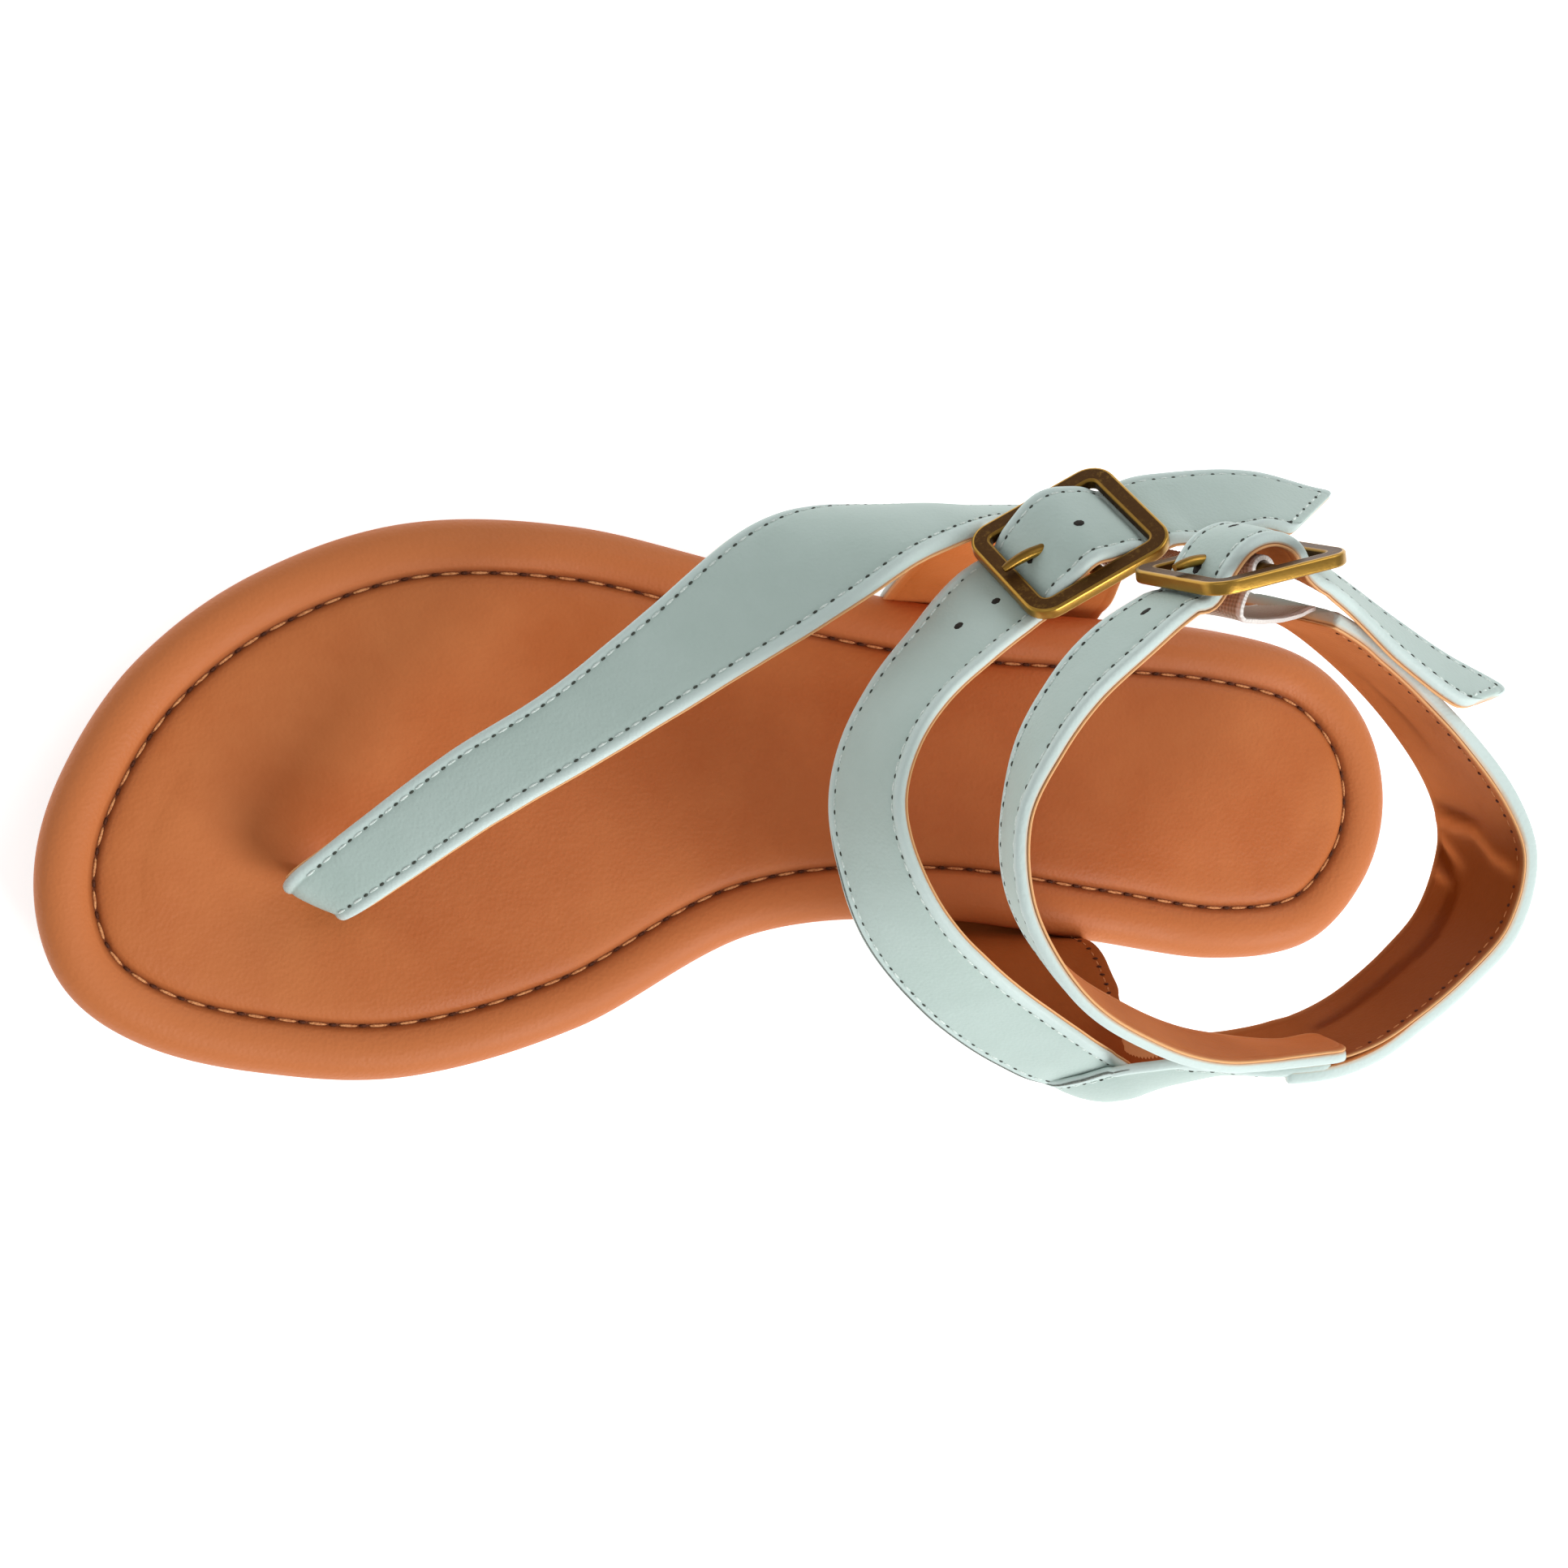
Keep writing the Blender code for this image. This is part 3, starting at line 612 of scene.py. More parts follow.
def use_group(tree, group, links, values=()):
    """Place a group in a material, and give its output sockets."""
    node = add_node(tree, 'ShaderNodeGroup', values, node_tree=group)
    for socket, source in links.items():
        tree.links.new(source, node.inputs[socket])
    return node.outputs


def attribute(tree, name):
    return add_node(tree, 'ShaderNodeAttribute', attribute_name=name).outputs["Fac"]


def dress(tree, shader, colour, roughness, height, relief):
    """Link a shader's colour and roughness, and its relief in metres."""
    tree.links.new(colour, shader.inputs["Base Color"])
    tree.links.new(roughness, shader.inputs["Roughness"])
    bump = add_node(tree, 'ShaderNodeBump', {"Strength": 1.0, "Distance": relief})
    tree.links.new(height, bump.inputs["Height"])
    tree.links.new(bump.outputs["Normal"], shader.inputs["Normal"])


def leather_material(name, tones, edge, cut, cells, relief, roughness, coat, specular=0.22):
    """Leather whose painted shading tone follows the attribute named by edge, and whose cut tone follows
    the one named by cut.
    """
    material, tree, shader, place = new_material(
        name, {"Coat Weight": coat, "Coat Roughness": 0.45, "Specular IOR Level": specular}
    )
    grain = use_group(tree, GRAIN, {"Vector": place}, {"Cells": cells})
    toned = use_group(
        tree, TONES,
        {"Clouds": grain["Clouds"], "Edge": attribute(tree, edge), "Cut": attribute(tree, cut)},
        {tone_name: srgb(*tone) for tone_name, tone in zip(TONE_NAMES, tones)},
    )
    dress(tree, shader, toned["Color"], rescale(tree, grain["Clouds"], *roughness), grain["Height"], relief)
    return material


def thread_material(name, light, dark):
    """Twisted thread: fine bands of light and shade."""
    material, tree, shader, place = new_material(name, {"Specular IOR Level": 0.3})
    twist = add_node(tree, 'ShaderNodeTexNoise', {"Scale": 2600.0, "Detail": 2.0})
    tree.links.new(place, twist.inputs["Vector"])
    bands = twist.outputs["Fac"]
    colour = mix_colours(tree, spread(tree, bands, 0.35, 0.6), srgb(*dark), srgb(*light))
    dress(tree, shader, colour, rescale(tree, bands, 0.6, 0.85), bands, 0.00008)
    return material


def brass_material():
    """Dark plating rubbed bright along its edges."""
    material, tree, shader, place = new_material("antique_brass_plate", {"Specular IOR Level": 0.35})
    patina = use_group(tree, PATINA, {"Vector": place, "Rub": attribute(tree, "rub")})
    bright = patina["Bright"]
    tree.links.new(rescale(tree, bright, 0.88, 1.0), shader.inputs["Metallic"])
    colour = mix_colours(tree, bright, srgb(78, 50, 17), srgb(178, 138, 62))
    dress(tree, shader, colour, rescale(tree, bright, 0.5, 0.3), patina["Brush"], 0.00004)
    return material


def elastic_material():
    """Woven elastic: cords along the band, held by fine crossing threads, with a pale selvage."""
    material, tree, shader, place = new_material(
        "beige_elastic_weave", {"Specular IOR Level": 0.25, "Sheen Weight": 0.25}
    )
    waves = []
    for name, pitch in (("across", ELASTIC_CORD), ("along", ELASTIC_PICK)):
        turns = calculate(tree, 'MULTIPLY', attribute(tree, name), 2 * math.pi / pitch)
        waves.append(calculate(tree, 'SINE', turns))
    weave = calculate(tree, 'ADD', waves[0], calculate(tree, 'MULTIPLY', waves[1], 0.6))
    clouds = use_group(tree, GRAIN, {"Vector": place}, {"Cells": 900.0})["Clouds"]
    # Painted shade: the weave's hollows are darker; the clouds vary the tone at random
    shade = calculate(tree, 'ADD', spread(tree, weave, -1.4, 1.4), calculate(tree, 'MULTIPLY', clouds, 0.3))
    tone = mix_colours(tree, shade, srgb(140, 116, 94), srgb(190, 168, 146))
    colour = mix_colours(tree, attribute(tree, "selvage"), tone, srgb(236, 230, 224))
    dress(tree, shader, colour, rescale(tree, clouds, 0.75, 0.9), weave, 0.00007)
    return material


# Tones of each leather: light and dark by the clouds, a painted shading tone (painted highlight along the
# rolled edges of the mint, pad and sole, painted shade on the lining), and one on the cut edge, which on
# the pad and sole is painted shade in the grooves
MINT_TONES = ((184, 202, 196), (175, 194, 187), (202, 218, 214), (222, 170, 120))
LINING_TONES = ((212, 130, 74), (194, 112, 56), (118, 52, 4), (234, 180, 126))
PAD_TONES = ((192, 112, 60), (182, 100, 49), (194, 113, 62), (104, 46, 16))
RUBBER_TONES = ((112, 76, 54), (98, 64, 44), (124, 86, 62), (84, 54, 36))

mint_leather = leather_material(
    "mint_leather_grain", MINT_TONES, "rim", "raw",
    cells=1700.0, relief=0.00005, roughness=(0.46, 0.58), coat=0.08,
)
lining_leather = leather_material(
    "tan_lining_grain", LINING_TONES, "crease", "raw",
    cells=1500.0, relief=0.00005, roughness=(0.5, 0.64), coat=0.0, specular=0.08,
)
pad_leather = leather_material(
    "tan_pad_grain", PAD_TONES, "roll", "groove_shade",
    cells=1500.0, relief=0.00006, roughness=(0.46, 0.62), coat=0.05,
)
sole_rubber = leather_material(
    "brown_rubber_mould", RUBBER_TONES, "roll", "groove_shade",
    cells=700.0, relief=0.00008, roughness=(0.6, 0.75), coat=0.0,
)
mint_thread = thread_material("mint_thread", (226, 236, 231), (190, 204, 198))
tan_thread = thread_material("tan_thread", (222, 158, 104), (180, 108, 62))
# Needle holes are dark beads that paint the shade inside them
needle_shade = thread_material("needle_hole_shade", (74, 80, 72), (48, 52, 46))
edge_grey = thread_material("grey_edge_line_and_lip_shade", (122, 128, 122), (96, 102, 96))
# Punched holes are dark beads that paint the shade inside them
punch_shade = thread_material("punched_hole_shade", (44, 38, 32), (26, 22, 18))
needle_shade_brown = thread_material("needle_hole_shade_brown", (88, 40, 14), (62, 26, 8))
brass = brass_material()
elastic_weave = elastic_material()


# Pieces

def make_piece(name, bm, material, replaces=(), sharp=60.0):
    """Turn a bmesh in the pattern frame into a named piece of the sandal."""
    bmesh.ops.recalc_face_normals(bm, faces=bm.faces)
    bmesh.ops.translate(bm, vec=SHIFT, verts=bm.verts)
    bmesh.ops.scale(bm, vec=(MM, MM, MM), verts=bm.verts)
    mesh = bpy.data.meshes.new(name)
    bm.to_mesh(mesh)
    bm.free()
    mesh.materials.append(material)
    mesh.shade_smooth()
    mesh.set_sharp_from_angle(angle=math.radians(sharp))
    piece = bpy.data.objects.new(name, mesh)
    bpy.context.scene.collection.objects.link(piece)
    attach(piece, "root")
    if replaces:
        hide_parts(*replaces)
    return piece


def new_layers(bm, *names):
    """Attributes of a bmesh's vertices that its material reads."""
    return [bm.verts.layers.float.new(name) for name in names]


def roll_tube(bm, rows, columns, put):
    """A grid rolled up into a tube; put gives each vertex its place from its row and its column."""
    made = bmesh.ops.create_grid(bm, x_segments=rows - 1, y_segments=columns, size=0.5)["verts"]
    for vert in made:
        row = round((vert.co.x + 0.5) * (rows - 1))
        column = round((vert.co.y + 0.5) * columns) % columns
        vert.co = put(vert, row, column)
    bmesh.ops.remove_doubles(bm, verts=made, dist=MERGE_DISTANCE)


def close_ends(bm):
    bmesh.ops.holes_fill(bm, edges=[edge for edge in bm.edges if edge.is_boundary], sides=0)


def bead(bm, point, along, out, size):
    """A small rounded bead, size along the seam, across it and out of it."""
    side = along.cross(out).normalized()
    out = side.cross(along).normalized()
    length, width, height = size
    turn = Matrix((height * out, width * side, length * along.normalized())).transposed().to_4x4()
    place = Matrix.Translation(point) @ turn
    bmesh.ops.create_uvsphere(bm, u_segments=6, v_segments=4, radius=1.0, matrix=place)


# Seams

def heading(route, length):
    """Direction of a route at a length."""
    reach = 0.3
    return route(length + reach)[0] - route(length - reach)[0]


def sew(threads, marks, route, length, stitch):
    """Threads, and dark beads of painted shade at the needle holes between them, along a route, which gives
    a point and the way out at a length.
    """
    count = max(1, round(length / stitch.pitch))
    for k in range(count):
        centre = (k + 0.5) * length / count
        wander = 0.12 * noise.noise(Vector((k * 1.7, length, 0.5)))
        along = heading(route, centre)
        for beads, shift, size in ((threads, 0.0, stitch.thread), (marks, length / count / 2, stitch.mark)):
            point, out = route(centre + shift + wander)
            bead(beads, point, along, out, size)


def edge_route(band, start, share, inset, height, lift=None, flare=None):
    """Route of a seam that keeps one distance from a strap's edge."""

    def route(length):
        place = start + length
        section = band.section(place)
        spare = flare(place, share) if flare else 0.0
        side = share * (section.width / 2 + spare - inset)
        raised = height + (lift(place, side) if lift else 0.0)
        return band.point(place, side, raised), math.copysign(1.0, height) * section.outward

    return route


def tip_route(band, inset, height):
    """Route of a seam across a strap's slanted tip."""
    place = band.length - inset
    section = band.section(place)

    def route(length):
        side = length - section.width / 2 + inset
        return band.point(place, side, height), section.outward

    return route


def channel_route():
    """Route of the footbed's seam along the bottom of its channel, and the seam's length."""
    steps = 1440
    points = []
    for k in range(steps + 1):
        spot = inset_outline(2 * math.pi * k / steps, CHANNEL_INSET)
        points.append(Vector((spot.x, spot.y, seat_height(spot.x) + GAP + CHANNEL_RISE)))
    lengths = [0.0]
    for near, far in zip(points, points[1:]):
        lengths.append(lengths[-1] + (far - near).length)
    total = lengths[-1]

    def route(length):
        length = length % total
        high = bisect_right(lengths, length)
        share = (length - lengths[high - 1]) / (lengths[high] - lengths[high - 1])
        return points[high - 1].lerp(points[high], share), Vector((0, 0, 1))

    return route, total


def make_stitches(name, thread, mark, runs, stitch):
    """All seams of one strap as two pieces, threads and dark beads of painted shade at the needle holes; a
    run is a route and its length.
    """
    threads, marks = bmesh.new(), bmesh.new()
    for route, length in runs:
        sew(threads, marks, route, length, stitch)
    make_piece(name + "_threads", threads, thread)
    make_piece(name + "_needle_hole_shades", marks, mark)


# Footbed and sole

def pad_relief(x, y, crown):
    """Softness of the pad: a low crown, a dip round the toe post and the hollows that a foot leaves."""
    away = math.hypot(x - POST_SPOT[0], y - POST_SPOT[1])
    dip = 1.7 * math.exp(-(away / 6.0) ** 2) + 0.6 * math.exp(-(away / 16.0) ** 2)
    heel = 0.5 * math.exp(-((x - 212.0) / 24.0) ** 2 - (y / 20.0) ** 2)
    ball = 0.4 * math.exp(-((x - 80.0) / 26.0) ** 2 - ((y + 8.0) / 28.0) ** 2)
    waves = 0.16 * noise.noise(Vector((x / 22, y / 22, 3.0)))
    return 0.5 * crown - dip - heel - ball + waves


def outline_spot(angle, inset, share):
    """A point inside the outline, moved a share of its way to the middle of the foot, and the whole way."""
    point = inset_outline(angle, inset)
    middle = (point + inset_outline(-angle, inset)) / 2
    return point.lerp(middle, share), (point - middle).length


def make_footbed():
    """Padded board: hollowed under the band of the quarters, with a rolled edge and a sewn channel."""
    around = 480
    crown_width = 16.0
    rows = [(*FOOTBED_SECTION[0], share) for share in (1.0, 0.6, 0.25)]
    rows += [(*ring, 0.0) for ring in FOOTBED_SECTION]
    rows += [(*FOOTBED_SECTION[-1], k / 16) for k in range(1, 17)]
    bm = bmesh.new()
    roll, groove_shade = new_layers(bm, "roll", "groove_shade")

    def put(vert, row, column):
        inset, rise, share = rows[row]
        spot, way = outline_spot(2 * math.pi * column / around, inset, share)
        height = seat_height(spot.x) + GAP + rise
        if rise > 5.0 and inset > CHANNEL_INSET:
            crown = share * (2 - share) * smooth_step(0.0, crown_width, way)
            height += pad_relief(spot.x, spot.y, crown) * smooth_step(CHANNEL_INSET, 15.0, inset)
        if rise < 2.0:
            height += 1.5 * plateau(148.0, 154.0, 190.0, 196.0, spot.x) * (1 - rise / 2)
        # Painted shade along the bottom of the sewn channel
        vert[groove_shade] = math.exp(-((inset - CHANNEL_INSET) / 0.55) ** 2) if share == 0.0 else 0.0
        # Painted highlight along the pad's rolled edge
        vert[roll] = 1.0 if inset < 8.5 and rise > 2.0 else 0.0
        return spot.x, spot.y, height

    roll_tube(bm, len(rows), around, put)
    footbed = make_piece("footbed_pad", bm, pad_leather, ["footbed"], sharp=80.0)


def make_outsole():
    """Moulded sole: rounded tread edge, lifted waist, heel breast, and grooves under the ball and heel."""
    groove_depth, groove_pitch, groove_width, groove_wall = 0.8, 6.0, 1.8, 0.4
    stations = {0.0, SOLE_LENGTH, HEEL_BREAST, HEEL_BREAST + BREAST_SLOPE, RAMP_START}
    stations.update(SOLE_LENGTH / 2 * (1 - math.cos(math.pi * k / 60)) for k in range(61))
    grooves = []
    for start, end in ((26.0, 98.0), (188.0, 240.0)):
        grooves += [start + k * groove_pitch for k in range(int((end - start) / groove_pitch))]
    for x in grooves:
        stations.update((x, x + groove_wall, x + groove_width - groove_wall, x + groove_width))
    angles = [math.acos(1 - 2 * x / SOLE_LENGTH) for x in sorted(stations)]
    angles += [2 * math.pi - angle for angle in reversed(angles[1:-1])]
    tread = [(4.2, 0.0, share) for share in (1.0, 0.72, 0.70, 0.1, 0.0)]
    edge = [(3.8, 0.12, 0.0), (3.3, 0.5, 0.0), (3.0, 1.2, 0.0), (2.4, None, 0.0)]
    seat = [(2.9, None, 0.0), (4.2, None, 0.3), (4.2, None, 1.0)]
    section = tread + edge + seat
    bm = bmesh.new()
    roll, groove_shade = new_layers(bm, "roll", "groove_shade")

    def underside(x):
        waist = max(seat_height(x) - WAIST_THICKNESS, 0.0) if RAMP_START < x <= HEEL_BREAST else 0.0
        return waist + toe_lift(x)

    def in_groove(x):
        return any(g + groove_wall / 2 < x < g + groove_width - groove_wall / 2 for g in grooves)

    def put(vert, row, column):
        inset, rise, share = section[row]
        spot, _ = outline_spot(angles[column], inset, share)
        place = outline(angles[column]).x
        # Painted highlight along the top of the sole's rounded edge
        vert[roll] = 1.0 if section[row] in edge[-2:] else 0.0
        if rise is None:
            return spot.x, spot.y, seat_height(spot.x) - (0.25 if inset < 2.6 else 0.0)
        height = min(underside(place) + rise, seat_height(spot.x) - 0.6)
        # Tread grooves are sunk and painted darker as shade
        if in_groove(place) and 0.05 < share < 0.71:
            height += groove_depth
            vert[groove_shade] = 1.0
        return spot.x, spot.y, height

    roll_tube(bm, len(section), len(angles), put)
    make_piece("outsole_tread", bm, sole_rubber, ["outsole"], sharp=50.0)


# Straps

ARCH_TOP = STRAP_ARCH.index(Arch(0.0, 5.0))
ANKLE_LEAN = ((-73, 75), (-77, 68), (-86, 58))

instep_arch = rows_through(INSTEP_BUCKLE, STRAP_ARCH, INSTEP_BUCKLE.strap_width)
ankle_arch = rows_through(ANKLE_BUCKLE, ANKLE_ARCH, ANKLE_BUCKLE.strap_width)
ankle_leaving = tuple(
    row._replace(turn=turn, rise=rise) for row, (turn, rise) in zip(ankle_arch[-3:], ANKLE_LEAN)
)
vamp = Band(VAMP_STRAP)
quarters = Band(QUARTERS + HEEL_STRAP)
instep = Band(INSTEP_STRAP + instep_arch + INSTEP_TAIL, TIP_SLANT)
ankle = Band(ANKLE_STRAP + ankle_arch[:-3] + ankle_leaving + ANKLE_TAIL, TIP_SLANT)
SLING_OUTER = quarters.places[8]
SLING_INNER = quarters.places[10]
HEEL_START = quarters.places[len(QUARTERS)]
POST_TOP = vamp.places[3] + 1.5
INSTEP_CENTRE = instep.places[len(INSTEP_STRAP) + ARCH_TOP]
ANKLE_CENTRE = ankle.places[len(ANKLE_STRAP) + ARCH_TOP]


def over_bar(place, centre):
    """1 where a strap lies over its buckle's centre bar."""
    return 1.0 - smooth_step(4.0, 11.0, abs(place - centre))


def quarter_crown(place, side):
    """1 along the middle of the quarters and 0 along their edges."""
    share = min(abs(2 * side / quarters.section(place).width), 1.0)
    return 1 - share * share


def lift_vamp(place, side):
    """The vamp strap's rear end lies on the outer quarter."""
    return smooth_step(vamp.places[10], vamp.places[12], place)


def lift_outer_quarter(place, side):
    """The outer quarter's upper end lies under the vamp strap."""
    return -0.6 * (1 - smooth_step(quarters.places[2], quarters.places[4], place))


def lift_inner_quarter(place, side):
    """The inner quarter is fullest where it leaves the instep strap."""
    return (1.3 * hump(place, 136.0, 6.0) - 0.5 * hump(place, 154.0, 7.0)) * quarter_crown(place, side)


def lift_heel(place, side):
    """The heel strap's inner end lies on the inner quarter, and its back is full."""
    swell = 2.7 * hump(place, 208.0, 15.0) + 0.8 * hump(place, 255.0, 14.0)
    overlap = 0.8 * (1 - smooth_step(HEEL_START + 4.0, HEEL_START + 22.0, place))
    return overlap + swell * quarter_crown(place, side)


def lift_instep(place, side):
    """The instep strap's inner end lies close under the inner quarter, and the strap sags in its buckle."""
    sag = (1.9 + 0.9 * side / 8.6) * over_bar(place, INSTEP_CENTRE)
    return 0.6 * (1 - smooth_step(8.0, 20.0, place)) - sag


def lift_ankle(place, side):
    """The ankle strap's inner end lies inside the heel strap, and the strap sags in its buckle."""
    sag = 0.2 * (1.0 + side / 6.75) * over_bar(place, ANKLE_CENTRE)
    return -0.6 * (1 - smooth_step(6.0, 30.0, place)) - sag


def quarter_flare(place, share):
    """How far the inner quarter's leather goes beyond its table: its lip in front and its rear edge."""
    if share > 0:
        return 2.6 * plateau(106.0, 122.0, 126.0, 142.0, place)
    lip = 1.5 * plateau(132.0, 142.0, 157.0, 166.0, place)
    return lip + 1.3 * plateau(149.5, 152.0, 156.0, 163.0, place)


def quarter_lining_flare(place, share):
    """The lining stays back from the lip."""
    if share > 0:
        return quarter_flare(place, share)
    return -1.6 * plateau(128.0, 134.0, 164.0, 170.0, place)


def shade_heel(place):
    """Painted shade on the lining inside the inner quarter and round the heel; the outer side stays light.
    """
    return (0.5 + 0.27 * smooth_step(160.0, 200.0, place)) * (1 - 0.95 * smooth_step(228.0, 242.0, place))


# Painted shade on the lining where the strap arches over its buckle's centre bar
def shade_instep(place):
    return 0.75 * over_bar(place, INSTEP_CENTRE)


# Painted shade on the lining where the strap arches over its buckle's centre bar
def shade_ankle(place):
    return 0.75 * over_bar(place, ANKLE_CENTRE)


def behind_heel(place):
    """1 where the heel strap goes round the back of the heel."""
    return plateau(204.0, 222.0, 240.0, 262.0, place)


# Creases of the heel's lining: both ends, half width and depth; a negative depth is a ridge
Crease = namedtuple("Crease", "place side to_place to_side width depth")
HEEL_CREASES = (
    Crease(235.6, 12.2, 233.1, 0.3, 1.1, -0.55),
    Crease(234.0, 1.5, 228.1, -4.9, 1.1, -0.5),
    Crease(228.8, -4.0, 226.1, -10.7, 1.1, -0.5),
    Crease(233.1, 11.3, 226.6, 3.7, 1.0, -0.5),
    Crease(225.6, 11.6, 223.1, 5.8, 0.9, -0.4),
    Crease(231.0, 12.0, 224.5, 6.0, 1.0, 0.4),
    Crease(238.0, 11.0, 235.2, -1.0, 1.2, 0.4),
    Crease(184.1, 4.6, 200.0, 4.8, 1.1, 0.45),
    Crease(196.0, 4.8, 212.0, 3.3, 1.2, 0.5),
    Crease(208.0, 3.5, 223.1, 4.6, 1.2, 0.5),
    Crease(250.0, 2.0, 268.0, 4.0, 1.5, 0.25),
)
DEEPEST_CREASE = 0.34
# Painted shade added for each unit of a crease's trough depth; ridges get less of it
CREASE_SHADE = 1.6


def crease_depth(creases, place, side):
    """How deep the troughs are at a spot; a negative depth is a ridge."""
    total = 0.0
    for crease in creases:
        start = Vector((crease.place, crease.side))
        run = Vector((crease.to_place, crease.to_side)) - start
        spot = Vector((place, side)) - start
        share = min(max(spot.dot(run) / run.length_squared, 0.0), 1.0)
        away = (spot - share * run).length / crease.width
        total += crease.depth * math.exp(-away * away) * (0.35 + 0.65 * math.sin(math.pi * share))
    return min(total, DEEPEST_CREASE)


def full_section(half, crown, back):
    """Whole section of a strap's layer: one half, the crowned middle, the mirrored half and the back."""
    inset, height = half[-1].inset, half[-1].height
    middle = [Ply(inset, crown - (crown - height) * share**2, share=share) for share in MIDDLE_SHARES]
    mirrored = [ply._replace(share=-ply.share) for ply in reversed(half)]
    behind = [Ply(inset, back, raw=1.0, share=share) for share in reversed(MIDDLE_SHARES[1::2])]
    return [*half, *middle, *mirrored, *behind]


# Layers of a strap: section, end, padding, flare beyond its table, height of its waves, creases and painted
# shade
Layer = namedtuple("Layer", "section end padding flare waves creases shade")
LEATHER_SECTION = full_section(HALF_LEATHER, LEATHER_CROWN, LEATHER_UNDERSIDE)
LINING_SECTION = full_section(HALF_LINING, LINING_CROWN, LINING_TOP)


def leather(end, padding=0.0, flare=None):
    return Layer(LEATHER_SECTION, end, padding, flare, 0.1, (), None)


def lining(end, flare=None, creases=(), shade=None):
    return Layer(LINING_SECTION, end, 0.0, flare, 0.14, creases, shade)


Strap = namedtuple("Strap", "name band start lift corner leather lining thin", defaults=(None, 1.0))
STRAPS = (
    Strap("vamp_strap", vamp, 0.0, lift_vamp, 0.5, leather(vamp.length), lining(vamp.length)),
    Strap(
        "outer_quarter", quarters, 0.0, lift_outer_quarter, 2.0,
        leather(SLING_OUTER), lining(SLING_OUTER),
    ),
    Strap(
        "inner_quarter", quarters, SLING_INNER, lift_inner_quarter, 0.8,
        leather(HEEL_START + 6.0, flare=quarter_flare),
        lining(quarters.length, quarter_lining_flare, HEEL_CREASES, shade_heel),
    ),
    Strap("heel_strap", quarters, HEEL_START + 1.0, lift_heel, 0.8, leather(quarters.length, padding=0.5)),
    Strap(
        "instep_strap", instep, 0.0, lift_instep, 2.0,
        leather(instep.length), lining(instep.length - 0.4, shade=shade_instep), thin=0.78,
    ),
    Strap(
        "ankle_strap", ankle, 2.0, lift_ankle, 2.6,
        leather(ankle.length), lining(ankle.length - 0.4, shade=shade_ankle),
    ),
)


def strap_places(start, end):
    """Places of a strap's rows, a step apart and closer together at its two ends."""
    step = 1.0
    close = (0.0, 0.1, 0.25, 0.5, 0.9, 1.4)
    first, last = start + close[-1], end - close[-1]
    count = max(2, math.ceil((end - start - 2 * close[-1] - step) / step))
    inner = [first + (last - first) * k / count for k in range(1, count)]
    return [start + c for c in close] + inner + [end - c for c in reversed(close)]


def strap_layer(strap, layer):
    """One layer of a strap as a closed shell, with attributes for the painted highlight along its turned
    edge, its raw edge, and the painted shade in its creases and hollows.
    """
    band, start, end, corner = strap.band, strap.start, layer.end, strap.corner
    places = strap_places(start, end)
    heights = [LEATHER_CROWN - strap.thin * (LEATHER_CROWN - ply.height) for ply in layer.section]
    section = [ply._replace(height=height) for ply, height in zip(layer.section, heights)]
    centre = sum(heights) / len(heights)
    end_reach, end_thinning, edge_wander = 0.5, 0.3, 0.09
    bm = bmesh.new()
    rim, raw, crease = new_layers(bm, "rim", "raw", "crease")

    def put(vert, row, column):
        place, ply = places[row], section[column]
        from_end = min(place - start, end - place)
        trim = 0.0
        if from_end < corner:
            trim = corner - math.sqrt(max(0.0, corner**2 - (corner - from_end) ** 2))
        soft = 1.0 - end_thinning * max(0.0, 1.0 - from_end / end_reach) ** 2
        wobble = edge_wander * noise.noise(Vector((place / 7, ply.share, band.length)))
        spare = layer.flare(place, ply.share) if layer.flare else 0.0
        side = ply.share * (band.section(place).width / 2 + spare - ply.inset - trim + wobble)
        height = centre + (ply.height - centre) * soft
        height += layer.padding * smooth_step(-0.7, 0.4, ply.height) * (1 + 0.9 * behind_heel(place))
        height += layer.waves * noise.noise(Vector((place / 16, side / 9, band.length)))
        height += strap.lift(place, side)
        trough = crease_depth(layer.creases, place, side) if ply.raw < 0.5 else 0.0
        # Painted shade over the buckles' centre bars and round the heel
        wear_and_painted_shade = layer.shade(place) if layer.shade else 0.0
        # Painted highlight along the strap's turned edge
        vert[rim] = ply.rim
        vert[raw] = ply.raw * (1 - smooth_step(0.0, 0.6, spare))
        # Painted shade in the crease troughs is added to the painted shade above
        vert[crease] = min(max(wear_and_painted_shade + CREASE_SHADE * trough, 0.0), 1.0)
        return band.point(place, side, height + trough)

    roll_tube(bm, len(places), len(section), put)
    close_ends(bm)
    return bm


def make_straps():
    for strap in STRAPS:
        shell = strap_layer(strap, strap.leather)
        make_piece(strap.name + "_leather", shell, mint_leather, ["upper"])
        if strap.lining:
            shell = strap_layer(strap, strap.lining)
            make_piece(strap.name + "_lining", shell, lining_leather, ["upper"])


